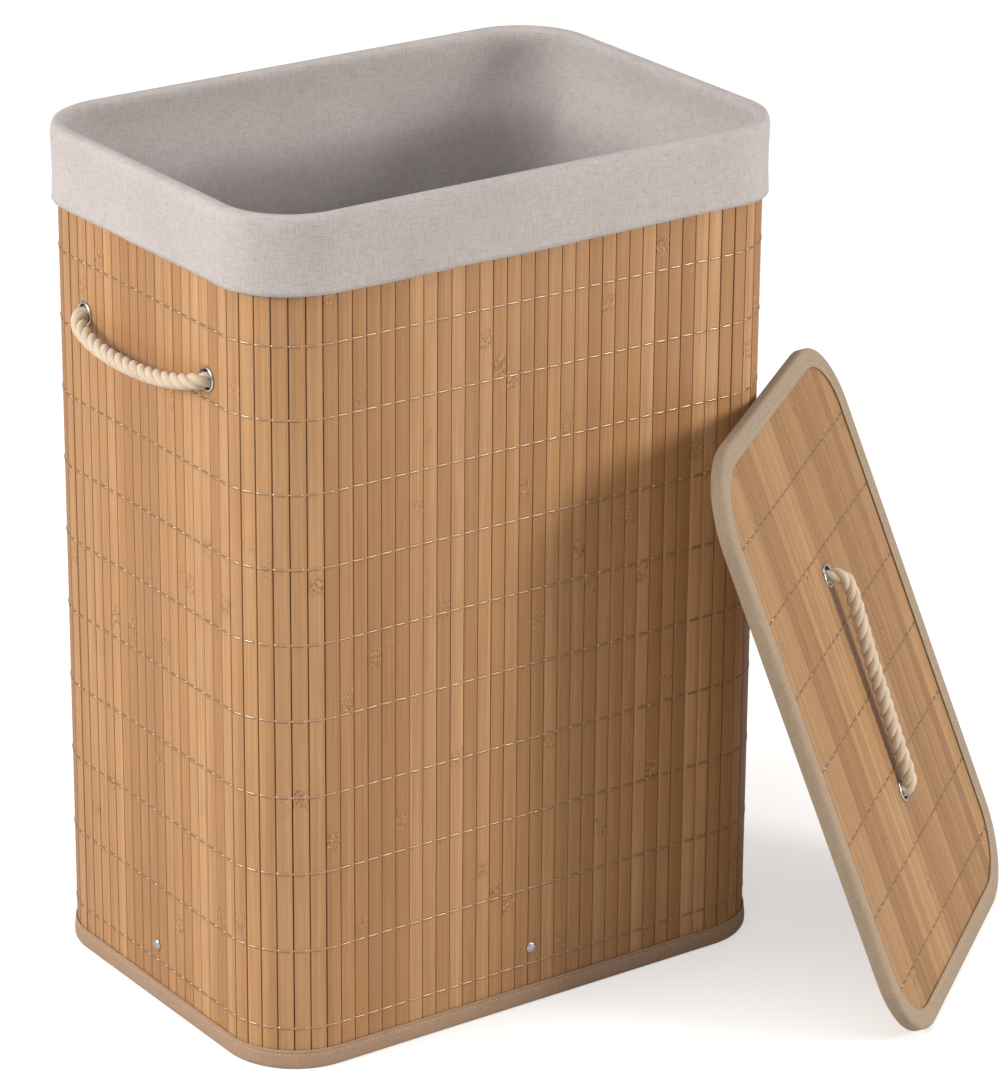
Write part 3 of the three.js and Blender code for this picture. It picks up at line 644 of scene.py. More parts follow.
def tube(line, radius, sides, first_vertex, ripple=0.0, ripples=7, twist=0.0):
    """Points, faces and corner UVs of a closed tube along a line."""
    _, side, up = carried_frames(line)
    count = len(line)
    lengths = np.concatenate([[0], np.cumsum(np.linalg.norm(np.diff(line, axis=0), axis=1))])
    angles = np.arange(sides) / sides * 2 * np.pi
    points = []
    for i in range(count):
        wave = 1 + ripple * np.cos(ripples * angles + twist * lengths[i])
        ring = radius * wave[:, None] * (np.cos(angles)[:, None] * side[i] + np.sin(angles)[:, None] * up[i])
        points.append(line[i] + ring)
    points = np.concatenate([*points, line[:1], line[-1:]])
    faces, uvs = [], []
    for i in range(count - 1):
        for j in range(sides):
            k = (j + 1) % sides
            faces.append((i * sides + j, i * sides + k, (i + 1) * sides + k, (i + 1) * sides + j))
            u0, u1 = j / sides, (j + 1) / sides
            uvs += [(u0, lengths[i]), (u1, lengths[i]), (u1, lengths[i + 1]), (u0, lengths[i + 1])]
    start, end, last = count * sides, count * sides + 1, (count - 1) * sides
    for j in range(sides):
        k = (j + 1) % sides
        faces += [(start, k, j), (end, last + j, last + k)]
        uvs += [(0, 0), (0.1, 0), (0, 0.001)] * 2
    faces = [tuple(v + first_vertex for v in face) for face in faces]
    return points, faces, uvs


def laid_rope(name, route, radius, lay):
    """Three strands twisted together along a route, and the route's evenly spaced line."""
    line, lengths = curved_route(route, ROPE_STEP)
    _, side, up = carried_frames(line)
    strand_radius, strand_offset = 0.53 * radius, 0.47 * radius
    points, faces, uvs, shade_in_hollows = [], [], [], []
    for strand in range(3):
        angle = 2 * np.pi * (strand / 3 + lengths / lay)
        centre = line + strand_offset * (np.cos(angle)[:, None] * side + np.sin(angle)[:, None] * up)
        made, made_faces, made_uvs = tube(
            centre, strand_radius, 20, len(points), ripple=0.035, ripples=8, twist=2 * np.pi * 3 / lay)
        rings = made[:-2].reshape(len(line), -1, 3)
        reach = np.linalg.norm(rings - line[:, None], axis=2)
        # How deep each point lies in the grooves between strands, for the painted shade there.
        depth = np.clip((0.80 * radius - reach) / (0.28 * radius), 0, 1)
        shade_in_hollows += [*depth.ravel(), 1, 1]
        points += list(made)
        faces += made_faces
        uvs += [(u + strand * 1.7, v) for u, v in made_uvs]
    mesh = new_mesh(name, points, faces, material=ROPE)
    set_uv(mesh, uvs)
    store(mesh, "rope_hollow", shade_in_hollows)
    return new_object(name, mesh), line


def stopper_knot(middle, out, along):
    """Points, faces and UVs of a pulled-tight overhand knot, flat against what it stops."""
    side = out.cross(along)
    steps, spread, depth = 72, 2.3 * MM, 2.2 * MM
    loop = []
    for i in range(steps):
        t = 2 * math.pi * i / steps + 0.4
        a = math.sin(t) + 2 * math.sin(2 * t)
        b = math.cos(t) - 2 * math.cos(2 * t)
        c = -math.sin(3 * t)
        loop.append(middle + (along * a + side * b) * spread + out * c * depth)
    line = np.array([tuple(p) for p in [*loop, loop[0]]])
    return tube(line, 3.5 * MM, 14, 0, ripple=0.12, ripples=3, twist=2 * np.pi / (14 * MM))


def knots(name, places):
    """Knots at (middle, out, along) places as one piece."""
    points, faces, uvs = [], [], []
    for middle, out, along in places:
        made, made_faces, made_uvs = stopper_knot(middle, out, along)
        first = len(points)
        points += list(made)
        faces += [tuple(v + first for v in face) for face in made_faces]
        uvs += made_uvs
    mesh = new_mesh(name, points, faces, material=ROPE)
    set_uv(mesh, uvs)
    # A light painted shade over the whole knot.
    store(mesh, "rope_hollow", [0.15] * len(points))
    return new_object(name, mesh)


def through_wall(route, back, inward, sag):
    """A route with its two ends carried on through the eyelets to the knots behind.

    The rope lies against one side of each eyelet, a little inward and lower than its middle.
    """
    ends = []
    for along, _, _ in (route[0], route[-1]):
        side = along - math.copysign(inward, along)
        ends.append([(side, -ROPE_STANDOFF + out, -sag) for out in (-back, -1.5 * MM, 4 * MM)])
    return [*ends[0], *route[1:-1], *reversed(ends[1])]


def make_handle(side):
    """One carrying rope, laid about the swing line between its two eyelets."""
    swing = joint(f"{side}_rope_swing")
    pivot = Vector(swing["pos_m"])
    out = Vector((math.copysign(1, pivot.x), 0, 0))
    along = Vector((0, 1, 0))
    places = through_wall(HANDLE_ROUTE, KNOT_BACK, 0.6 * MM, 0.9 * MM)
    route = [pivot + along * a + out * o + UP * z for a, o, z in places]
    rope, line = laid_rope(f"{side}_handle_rope", route, ROPE_RADIUS, ROPE_LAY)
    wall = pivot - out * ROPE_STANDOFF
    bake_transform(rope)
    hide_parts(f"carry_rope_{side}")
    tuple(route[1])
    behind = wall - out * KNOT_BACK
    made = knots(f"{side}_handle_knots", [
        (Vector((behind.x, centre_of(f"eyelet_{side}_{end}").y, behind.z)), out, along) for end in ENDS])
    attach(made, "hamper")
    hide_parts(*[f"rope_knot_{side}_{end}" for end in ENDS])


def make_lid_rope():
    """The lid's rope, laid about the swing line between its two eyelets."""
    places = through_wall(LID_ROUTE, LID_KNOT_BACK, 1.0 * MM, 0.0)
    route = [lid_pivot + LID_SLOPE * a + LID_NORMAL * o + LID_SIDEWAYS * z for a, o, z in places]
    rope, line = laid_rope("lid_lifting_rope", route, ROPE_RADIUS, ROPE_LAY)
    face = lid_pivot - LID_NORMAL * ROPE_STANDOFF
    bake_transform(rope)
    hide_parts("lid_rope")
    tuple(route[1])
    made = knots("lid_rope_knots", [
        (face + LID_SLOPE * height - LID_NORMAL * LID_KNOT_BACK, LID_NORMAL, LID_SLOPE)
        for height in LID_EYELET_HEIGHTS])
    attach(made, "lid")
    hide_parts("lid_rope_knot_upper", "lid_rope_knot_lower")


# ---- Camera, light and floor ---------------------------------------------------------------


def make_camera():
    """The camera at three-quarter view from the front left, a little above the rim's height."""
    azimuth, elevation, roll = (math.radians(a) for a in (-35.15, 21.76, 0.46))
    distance, aside, down = 3.332, 0.0613, 0.0029
    back = Vector((
        math.sin(azimuth) * math.cos(elevation),
        -math.cos(azimuth) * math.cos(elevation),
        math.sin(elevation),
    ))
    right = (-back).cross(UP).normalized()
    over = right.cross(-back)
    turned_right = right * math.cos(roll) + over * math.sin(roll)
    turned_up = over * math.cos(roll) - right * math.sin(roll)
    target = Vector((0, 0, RIM / 2))
    data = bpy.data.cameras.new("studio_camera")
    data.sensor_width = 36
    data.lens = 161.9
    camera = new_object("studio_camera", data)
    axes = Matrix((turned_right, turned_up, back)).transposed()
    where = target + back * distance + turned_right * aside - turned_up * down
    camera.matrix_world = Matrix.Translation(where) @ axes.to_4x4()
    bpy.context.scene.camera = camera


def make_softbox(name, azimuth, elevation, distance, size, power, colour):
    """A square light that faces the middle of the hamper."""
    a, e = math.radians(azimuth), math.radians(elevation)
    target = Vector((0.05, 0, 0.3))
    back = Vector((math.sin(a) * math.cos(e), -math.cos(a) * math.cos(e), math.sin(e)))
    data = bpy.data.lights.new(name, "AREA")
    data.shape = "SQUARE"
    data.size = size
    data.energy = power
    data.color = colour
    light = new_object(name, data)
    light.location = target + back * distance
    light.rotation_mode = "QUATERNION"
    light.rotation_quaternion = back.to_track_quat("Z", "Y")


def make_sky_light():
    """Broad, soft light from high above, even over the whole floor."""
    data = bpy.data.lights.new("overhead", "SUN")
    data.energy = 1.0
    data.angle = math.radians(50)
    light = new_object("overhead", data)
    light.rotation_euler = (math.radians(12), math.radians(-6), 0)


def make_studio():
    world = bpy.data.worlds.new("studio")
    bpy.context.scene.world = world
    world.use_nodes = True
    background = world.node_tree.nodes["Background"]
    background.inputs["Color"].default_value = (1.0, 0.985, 0.965, 1)
    background.inputs["Strength"].default_value = 0.42
    make_softbox("key_softbox", 36, 17, 2.6, 0.72, 40, (1.0, 0.96, 0.91))
    make_softbox("left_softbox", -102, 22, 2.6, 1.1, 54, (1.0, 0.97, 0.93))
    make_sky_light()
    half = 12.0
    corners = [(-half, -half, 0), (half, -half, 0), (half, half, 0), (-half, half, 0)]
    floor = new_object("floor", new_mesh("floor", corners, [(0, 1, 2, 3)], material=floor_finish()))
    view = bpy.context.scene.view_settings
    view.view_transform = "Standard"
    view.look = "None"


make_camera()
for side_name in SIDES:
    make_handle(side_name)
make_lid_rope()
make_studio()


# ---- Slats and their weave -----------------------------------------------------------------


def slat_mesh(low, high, width, thickness):
    """One slat along Z, with its outer face on -Y, rounded at its long edges."""
    edge, steps, rows = 0.4 * MM, 3, 22
    section = []
    for cx, cy, start in [(1, 1, 0), (-1, 1, 90), (-1, -1, 180), (1, -1, 270)]:
        for i in range(steps + 1):
            angle = math.radians(start + 90 * i / steps)
            x = cx * (width / 2 - edge) + edge * math.cos(angle)
            y = cy * (thickness / 2 - edge) + edge * math.sin(angle)
            section.append((x, y))
    count = len(section)
    points, faces = [], []
    for row in range(rows + 1):
        z = low + (high - low) * row / rows
        points += [(x, y, z) for x, y in section]
    for row in range(rows):
        for i in range(count):
            j = (i + 1) % count
            faces.append((row * count + i, row * count + j, (row + 1) * count + j, (row + 1) * count + i))
    faces += [tuple(reversed(range(count))), tuple(range(rows * count, (rows + 1) * count))]
    mesh = new_mesh("slat", points, faces)
    store(mesh, "slat_across", [p[0] for p in points])
    return mesh


def kept_value(tree, geometry, name, value, domain="POINT"):
    """The geometry with a value kept on it for its finish to read."""
    inputs = {"Geometry": geometry, "Name": name, "Value": value}
    node = add(tree, "GeometryNodeStoreNamedAttribute", inputs, data_type="FLOAT", domain=domain)
    return node.outputs[0]


def scaled(tree, direction, factor):
    node = add(tree, "ShaderNodeVectorMath", {0: direction, "Scale": factor}, operation="SCALE")
    return node.outputs[0]


def slat_fence_tree():
    """Slats side by side along a path, each with its own tone, width and slight bow."""
    tree, given, result = tree_with(
        "slat_fence", Slat="object", Count=2, Seed=0, Bow=0.0, Half_width=1.0, Corner_radius=0.01,
        Slat_reach=0.0, Height=1.0, Shorten=0.0, Finish="material")
    path = add(tree, "GeometryNodeMeshToCurve", {"Mesh": given["Geometry"]})
    inputs = {"Curve": path.outputs[0], "Count": given["Count"]}
    spots = add(tree, "GeometryNodeCurveToPoints", inputs, mode="COUNT")
    inputs = {"Vector": spots.outputs["Tangent"]}
    facing = add(tree, "FunctionNodeAlignRotationToVector", inputs, axis="X", pivot_axis="Z")
    # Near a lid's rounded corners the slats are shorter.
    parts = add(tree, "ShaderNodeSeparateXYZ", {0: add(tree, "GeometryNodeInputPosition").outputs[0]})
    flat = maths(tree, "SUBTRACT", given["Half width"], given["Corner radius"])
    reach = maths(tree, "ADD", maths(tree, "ABSOLUTE", parts.outputs[1]), given["Slat reach"])
    past = maths(tree, "MAXIMUM", maths(tree, "SUBTRACT", reach, flat), 0.0)
    radius_squared = maths(tree, "POWER", given["Corner radius"], 2.0)
    rest = maths(tree, "SUBTRACT", radius_squared, maths(tree, "POWER", past, 2.0))
    level = maths(tree, "SQRT", maths(tree, "MAXIMUM", rest, 0.0))
    cutback = maths(tree, "SUBTRACT", given["Corner radius"], level)
    share = maths(tree, "DIVIDE", maths(tree, "MULTIPLY", cutback, 2.0), given["Height"])
    tall = maths(tree, "SUBTRACT", 1.0, maths(tree, "MULTIPLY", share, given["Shorten"]))

    def random_value(low, high, offset):
        seed = maths(tree, "ADD", given["Seed"], float(offset))
        node = add(tree, "FunctionNodeRandomValue", {"Seed": seed}, data_type="FLOAT")
        node.inputs[2].default_value = low
        node.inputs[3].default_value = high
        return node.outputs[1]

    size = vector(tree, random_value(0.97, 1.0, 1), random_value(0.94, 1.03, 2), tall)
    slat = add(tree, "GeometryNodeObjectInfo", {"Object": given["Slat"]}).outputs["Geometry"]
    points = spots.outputs["Points"]
    inputs = {"Points": points, "Instance": slat, "Rotation": facing.outputs[0], "Scale": size}
    row = add(tree, "GeometryNodeInstanceOnPoints", inputs).outputs[0]
    for label, offset in (("slat_tone", 3), ("slat_shift", 4)):
        row = kept_value(tree, row, label, random_value(0.0, 1.0, offset), "INSTANCE")
    row = add(tree, "GeometryNodeRealizeInstances", {"Geometry": row}).outputs[0]
    here = add(tree, "GeometryNodeInputPosition").outputs[0]
    z = add(tree, "ShaderNodeSeparateXYZ", {0: here}).outputs[2]
    row = kept_value(tree, row, "slat_along", z)
    shift = add(tree, "GeometryNodeInputNamedAttribute", {"Name": "slat_shift"}, data_type="FLOAT").outputs[0]
    along = vector(tree, maths(tree, "MULTIPLY", shift, 60.0), 0.0, maths(tree, "MULTIPLY", z, 9.0))
    sway = add(tree, "ShaderNodeTexNoise", {"Vector": along, "Scale": 1.0, "Detail": 2.0}).outputs["Color"]
    offset = scaled(tree, vector_maths(tree, "SUBTRACT", sway, (0.5, 0.5, 0.5)), given["Bow"])
    offset = vector_maths(tree, "MULTIPLY", offset, (1.0, 1.0, 0.0))
    row = add(tree, "GeometryNodeSetPosition", {"Geometry": row, "Offset": offset}).outputs[0]
    row = add(tree, "GeometryNodeSetMaterial", {"Geometry": row, "Material": given["Finish"]}).outputs[0]
    tree.links.new(row, result)
    return tree


def thread_tree():
    """Rows of thread along a path that run over each slat and dip into each gap."""
    tree, given, result = tree_with(
        "woven_rows", Slats=2, Points_per_slat=8, Thread_radius=0.001, Flatness=1.0, Dip=0.001, Rows="object",
        Finish="material")
    path = add(tree, "GeometryNodeMeshToCurve", {"Mesh": given["Geometry"]}).outputs[0]
    count = maths(tree, "MULTIPLY", given["Slats"], given["Points per slat"])
    path = add(tree, "GeometryNodeResampleCurve", {"Curve": path, "Count": count}, mode="COUNT").outputs[0]
    parameter = add(tree, "GeometryNodeSplineParameter")
    path = kept_value(tree, path, "thread_along", parameter.outputs["Length"])
    # A high power of a sine is near 0 over a slat and 1 at a gap.
    turns = maths(tree, "MULTIPLY", parameter.outputs["Factor"], given["Slats"])
    sine = maths(tree, "SINE", maths(tree, "MULTIPLY", turns, math.pi))
    wave = maths(tree, "POWER", maths(tree, "ABSOLUTE", sine), 24.0)
    tangent = add(tree, "GeometryNodeInputTangent").outputs[0]
    outward = vector_maths(tree, "CROSS_PRODUCT", tangent, (0.0, 0.0, 1.0))
    sunk = maths(tree, "MULTIPLY", maths(tree, "MULTIPLY", wave, given["Dip"]), -1.0)
    inputs = {"Geometry": path, "Offset": scaled(tree, outward, sunk)}
    path = add(tree, "GeometryNodeSetPosition", inputs).outputs[0]
    path = add(tree, "GeometryNodeSetCurveNormal", {"Curve": path}, mode="Z_UP").outputs[0]
    inputs = {"Resolution": 6, "Radius": given["Thread radius"]}
    section = add(tree, "GeometryNodeCurvePrimitiveCircle", inputs).outputs[0]
    around = add(tree, "GeometryNodeSplineParameter").outputs["Factor"]
    section = kept_value(tree, section, "thread_around", around)
    inputs = {"Geometry": section, "Scale": vector(tree, given["Flatness"], 1.0, 1.0)}
    section = add(tree, "GeometryNodeTransform", inputs).outputs[0]
    inputs = {"Curve": path, "Profile Curve": section, "Fill Caps": True}
    thread = add(tree, "GeometryNodeCurveToMesh", inputs).outputs[0]
    rows = add(tree, "GeometryNodeObjectInfo", {"Object": given["Rows"]}).outputs["Geometry"]
    row = add(tree, "GeometryNodeInstanceOnPoints", {"Points": rows, "Instance": thread}).outputs[0]
    row = add(tree, "GeometryNodeRealizeInstances", {"Geometry": row}).outputs[0]
    row = add(tree, "GeometryNodeSetShadeSmooth", {"Geometry": row}).outputs[0]
    row = add(tree, "GeometryNodeSetMaterial", {"Geometry": row, "Material": given["Finish"]}).outputs[0]
    tree.links.new(row, result)
    return tree


def repeat_tree():
    """A small fitting or stitch on each point, turned by the point's own directions."""
    tree, given, result = tree_with("repeated_piece", Piece="object", Finish="material")

    def direction(name):
        node = add(tree, "GeometryNodeInputNamedAttribute", {"Name": name}, data_type="FLOAT_VECTOR")
        return node.outputs[0]

    turn = add(tree, "FunctionNodeAlignRotationToVector", {"Vector": direction("facing")}, axis="Z")
    inputs = {"Rotation": turn.outputs[0], "Vector": direction("along")}
    turn = add(tree, "FunctionNodeAlignRotationToVector", inputs, axis="X", pivot_axis="Z").outputs[0]
    piece = add(tree, "GeometryNodeObjectInfo", {"Object": given["Piece"]}).outputs["Geometry"]
    inputs = {"Points": given["Geometry"], "Instance": piece, "Rotation": turn}
    made = add(tree, "GeometryNodeInstanceOnPoints", inputs).outputs[0]
    made = add(tree, "GeometryNodeRealizeInstances", {"Geometry": made}).outputs[0]
    made = add(tree, "GeometryNodeSetMaterial", {"Geometry": made, "Material": given["Finish"]}).outputs[0]
    tree.links.new(made, result)
    return tree


SLAT_FENCE = slat_fence_tree()
WOVEN_ROWS = thread_tree()
REPEATED = repeat_tree()


def repeated(name, piece, places, finish):
    """Copies of a piece at (point, facing, along) places, as one plain mesh."""
    points = new_mesh(name + "_points", [p for p, _, _ in places])
    store(points, "facing", [c for _, f, _ in places for c in f], "FLOAT_VECTOR")
    store(points, "along", [c for _, _, a in places for c in a], "FLOAT_VECTOR")
    return grow(name, points, REPEATED, {"Piece": piece, "Finish": finish})


def drill_holes(made, holes, material):
    """Cuts round holes, each (middle, direction, radius), through a piece."""
    reach = 8 * MM
    cutters = []
    for middle, direction, radius in holes:
        pin = lathe("pin", [(0, -reach), (radius, -reach), (radius, reach), (0, reach)], 32)
        turn = direction.to_track_quat("Z", "Y").to_matrix().to_4x4()
        pin.data.transform(Matrix.Translation(middle) @ turn)
        cutters.append(pin)
    cutter = cutters[0]
    with bpy.context.temp_override(active_object=cutter, object=cutter, selected_editable_objects=cutters):
        bpy.ops.object.join()
    modifier = made.modifiers.new("holes", "BOOLEAN")
    modifier.object = cutter
    modifier.solver = "EXACT"
    name = made.name
    mesh = evaluated_mesh(made)
    bpy.data.objects.remove(cutter)
    mesh.materials.clear()
    mesh.materials.append(material)
    return new_object(name, mesh)


def crisp(made, degrees=35):
    """Smooth shading that stays sharp at corners tighter than the angle."""
    made.data.shade_smooth()
    made.data.set_sharp_from_angle(angle=math.radians(degrees))


OUTWARD = {
    "left": Vector((-1, 0, 0)),
    "right": Vector((1, 0, 0)),
    "front": Vector((0, -1, 0)),
    "rear": Vector((0, 1, 0)),
}
EYELETS = [(f"eyelet_{side}_{end}", OUTWARD[side]) for side in SIDES for end in ENDS]
RIVETS = [(f"rivet_{side}", out) for side, out in OUTWARD.items()]


def wall_spot(node, out):
    """The point on the slats' outer face where a fitting sits."""
    centre = centre_of(node)
    x = out.x * HALF_LENGTH if out.x else centre.x
    y = out.y * HALF_WIDTH if out.y else centre.y
    return Vector((x, y, centre.z))


def make_hamper_slats():
    """The wall's slats, drilled for the eyelets and rivets, and the rows of thread round them."""
    steps = 24
    outside = hamper_outline(0, steps)
    around = sum((b - a).length for a, b in zip(outside, outside[1:]))
    around += 2 * (HALF_WIDTH - CORNER_RADIUS)
    count = round(around / SLAT_PITCH)
    width = around / count - SLAT_GAP
    slat = new_object("slat", slat_mesh(MAT_LOW, MAT_HIGH, width, SLAT_THICKNESS))
    values = {"Slat": slat, "Count": count, "Seed": 12, "Bow": SLAT_BOW, "Height": MAT_HIGH, "Finish": BAMBOO}
    path = path_mesh("wall_path", hamper_outline(-SLAT_THICKNESS / 2, steps))
    fence = grow("hamper_slats", path, SLAT_FENCE, values)
    bpy.data.objects.remove(slat)
    holes = [(wall_spot(node, out), out, EYELET_HOLE) for node, out in EYELETS]
    holes += [(wall_spot(node, out), out, RIVET_HOLE) for node, out in RIVETS]
    fence = drill_holes(fence, holes, BAMBOO)
    crisp(fence)
    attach(fence, "hamper")
    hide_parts(*[n for n in frame["nodes"] if n.startswith(("slat_wall", "slat_corner"))])

    rows = new_object("rows", new_mesh("rows", [(0, 0, z) for z in WEAVE_HEIGHTS]))
    values = {"Slats": count, "Points per slat": POINTS_PER_SLAT, "Thread radius": THREAD_RADIUS,
              "Flatness": THREAD_FLATNESS, "Dip": THREAD_DIP, "Rows": rows, "Finish": THREAD}
    path = path_mesh("thread_path", hamper_outline(THREAD_RADIUS * THREAD_FLATNESS / 2, steps))
    threads = grow("hamper_threads", path, WOVEN_ROWS, values)
    bpy.data.objects.remove(rows)
    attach(threads, "hamper")
    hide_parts(*WEAVE_NODES)


def make_lid_slats():
    """The lid's slats, drilled for the eyelets, and the rows of thread across them."""
    inset = 2.3 * MM
    half_width, half_length = LID_HALF_WIDTH - inset, LID_HALF_LENGTH - inset
    middle = LID_HALF_CORE - SLAT_THICKNESS / 2
    count = round(2 * half_width / SLAT_PITCH)
    pitch = 2 * half_width / count
    slat = new_object("slat", slat_mesh(-half_length, half_length, pitch - LID_SLAT_GAP, SLAT_THICKNESS))
    reach = half_width - pitch / 2
    ends = [Vector((middle, s * reach, 0)) for s in (-1, 1)]
    values = {"Slat": slat, "Count": count, "Seed": 29, "Bow": LID_SLAT_BOW, "Half width": half_width,
              "Slat reach": pitch / 2, "Corner radius": LID_RADIUS - inset, "Height": 2 * half_length,
              "Shorten": 1.0, "Finish": LID_BAMBOO}
    fence = grow("lid_slats", path_mesh("lid_path", ends, closed=False), SLAT_FENCE, values)
    bpy.data.objects.remove(slat)
    out = Vector((1, 0, 0))
    holes = [(Vector((LID_HALF_CORE, 0, z)), out, EYELET_HOLE) for z in LID_EYELET_HEIGHTS]
    fence = drill_holes(fence, holes, LID_BAMBOO)
    fence.data.transform(LID_PLACE)
    crisp(fence)
    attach(fence, "lid")
    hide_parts("lid_slat_mat")

    heights = [LID_ROW_TOP - LID_ROW_PITCH * i for i in range(LID_ROWS)]
    rows = new_object("rows", new_mesh("rows", [(0, 0, z) for z in heights]))
    surface = LID_HALF_CORE + LID_THREAD_RADIUS * THREAD_FLATNESS / 2
    ends = [Vector((surface, s * reach, 0)) for s in (-1, 1)]
    values = {"Slats": count - 1, "Points per slat": POINTS_PER_SLAT, "Thread radius": LID_THREAD_RADIUS,
              "Flatness": THREAD_FLATNESS, "Dip": LID_THREAD_DIP, "Rows": rows, "Finish": THREAD}
    path = path_mesh("lid_thread_path", ends, closed=False)
    threads = grow("lid_threads", path, WOVEN_ROWS, values, LID_PLACE)
    bpy.data.objects.remove(rows)
    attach(threads, "lid")


make_hamper_slats()
make_lid_slats()


# ---- Binding tapes -------------------------------------------------------------------------


def swept_band(name, section, outline_at, material):
    """A band whose closed (offset, height) section runs round an outline. UVs are in metres."""
    rings = [outline_at(offset, height) for offset, height in section]
    around = len(rings[0])
    points = [p for ring in rings for p in ring]
    lengths = run_lengths([*rings[0], rings[0][0]])
    sides = zip(section, section[1:] + section[:1])
    climbs = np.concatenate([[0], np.cumsum([math.dist(a, b) for a, b in sides])])
    faces, uvs = [], []
    for i in range(len(section)):
        n = (i + 1) % len(section)
        for j in range(around):
            k = (j + 1) % around
            faces.append((i * around + j, i * around + k, n * around + k, n * around + j))
            u0, u1, v0, v1 = lengths[j], lengths[j + 1], climbs[i], climbs[i + 1]
            uvs += [(u0, v0), (u1, v0), (u1, v1), (u0, v1)]
    mesh = new_mesh(name, points, faces, material=material)
    set_uv(mesh, uvs)
    return new_object(name, mesh)


# Half of a folded tape's section from its edge to the middle of its fold: how far it lies
# off the slats, and how far it is from the fold. The dip is its line of stitches.
TAPE_HALF = [
    (0.35, 13.2), (0.45, 13.75), (0.85, 14.0), (1.25, 13.7), (1.4, 12.9), (1.4, 11.9),
    (1.18, 11.2), (1.12, 10.8), (1.25, 10.4), (1.65, 9.6), (1.9, 8.0), (2.05, 5.6),
    (2.1, 3.2), (1.95, 1.6), (1.3, 0.5), (0.2, 0.0),
]
STITCH_LINE = 10.8 * MM  # from the fold to the line of stitches
STITCH_LIFT = 1.2 * MM  # height of the stitches above the slats


def tape_section(thickness):
    """A tape folded over an edge of the given thickness: (offset from its outer face, height)."""
    outer = [(o * MM, h * MM) for o, h in TAPE_HALF]
    inner = [(-thickness - o, h) for o, h in reversed(outer)]
    core = [(-thickness - 0.25 * MM, 1.6 * MM), (0.25 * MM, 1.6 * MM)]
    return [*outer, *inner, *core]


def stitch():
    """One stitch along X, lying on the plane z = 0."""
    length, radius, sides = 2.3 * MM, 0.26 * MM, 6
    rings = [(-0.5, 0.35), (-0.38, 0.85), (-0.15, 1.0), (0.15, 1.0), (0.38, 0.85), (0.5, 0.35)]
    points, faces = [], []
    for x, share in rings:
        sunk = (1 - share) * -0.3 * MM
        for i in range(sides):
            angle = 2 * math.pi * i / sides
            across, up = radius * share * math.cos(angle), radius * share * math.sin(angle)
            points.append((x * length, across, up + sunk))
    for i in range(len(rings) - 1):
        for j in range(sides):
            k = (j + 1) % sides
            faces.append((i * sides + j, i * sides + k, (i + 1) * sides + k, (i + 1) * sides + j))
    last = (len(rings) - 1) * sides
    faces += [tuple(reversed(range(sides))), tuple(last + j for j in range(sides))]
    mesh = new_mesh("stitch", points, faces)
    set_uv(mesh, [(0.0, 0.0)] * len(mesh.loops))
    return new_object("stitch", mesh)


def along_outline(outline, pitch, facing_at):
    """Evenly spaced (point, facing, along) places on a closed outline."""
    loop = [*outline, outline[0]]
    lengths = run_lengths(loop)
    count = round(lengths[-1] / pitch)
    places = []
    for distance in np.arange(count) * lengths[-1] / count:
        i = min(int(np.searchsorted(lengths, distance, side="right")) - 1, len(loop) - 2)
        share = (distance - lengths[i]) / (lengths[i + 1] - lengths[i])
        along = (loop[i + 1] - loop[i]).normalized()
        places.append((loop[i].lerp(loop[i + 1], share), facing_at(along), along))
    return places


STITCH = stitch()


def lift(points, height):
    return [p + UP * height for p in points]


def make_hamper_tapes():
    """The tapes folded over the foot and the top of the slats, and their stitches."""
    for name, node, edge, direction in (
        ("bottom_tape", "bottom_binding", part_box("bottom_binding")[0].z, 1),
        ("top_tape", "top_binding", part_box("top_binding")[1].z, -1),
    ):
        section = [(o, edge + direction * h) for o, h in tape_section(SLAT_THICKNESS)]
        if direction > 0:
            section.reverse()
        band = swept_band(name, section, lambda o, height: lift(hamper_outline(o), height), TAPE)
        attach(band, "hamper")
        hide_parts(node)
        outline = lift(hamper_outline(STITCH_LIFT), edge + direction * STITCH_LINE)
        places = along_outline(outline, STITCH_PITCH, lambda along: along.cross(UP))
        seam = repeated(name + "_stitches", STITCH, places, STITCHING)
        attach(seam, "hamper")


def make_lid_tape():
    """The lid's tape, folded over the slats and the backing board."""
    section = [(-h, LID_HALF_CORE + o) for o, h in tape_section(2 * LID_HALF_CORE)]

    def outline_at(offset, height):
        return [LID_PLACE @ (p + Vector((height, 0, 0))) for p in lid_outline(offset)]

    band = swept_band("lid_tape", section, outline_at, LID_TAPE)
    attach(band, "lid")
    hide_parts("lid_binding")
    turn = LID_PLACE.to_3x3()
    places = []
    for side in (1, -1):
        out = Vector((side, 0, 0))
        outline = [p + out * (LID_HALF_CORE + STITCH_LIFT) for p in lid_outline(-STITCH_LINE)]
        for point, facing, along in along_outline(outline, STITCH_PITCH, lambda _, out=out: out):
            places.append((LID_PLACE @ point, turn @ facing, turn @ along))
    seam = repeated("lid_tape_stitches", STITCH, places, STITCHING)
    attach(seam, "lid")


make_hamper_tapes()
make_lid_tape()


# ---- Eyelets, washers and rivets -----------------------------------------------------------


def arc_run(middle, radius, start, end, steps, squash=1.0):
    """(radius, height) points of an arc between two angles in degrees."""
    angles = [math.radians(start + (end - start) * i / steps) for i in range(steps + 1)]
    return [(middle[0] + radius * math.cos(a), middle[1] + squash * radius * math.sin(a)) for a in angles]


def eyelet(depth):
    """A rolled eyelet about Z whose ring lies on z = 0 and whose tube reaches down by depth."""
    bore, barrel, rim = 6.7 * MM, 7.3 * MM, 8.5 * MM
    roll = arc_run(((bore + rim) / 2, 0.35 * MM), (rim - bore) / 2, 0, 180, 12, 1.1)
    profile = [(barrel, -depth), (barrel, 0.2 * MM), (rim - 0.35 * MM, 0.2 * MM), *roll, (bore, -depth)]
    return lathe("eyelet", profile)


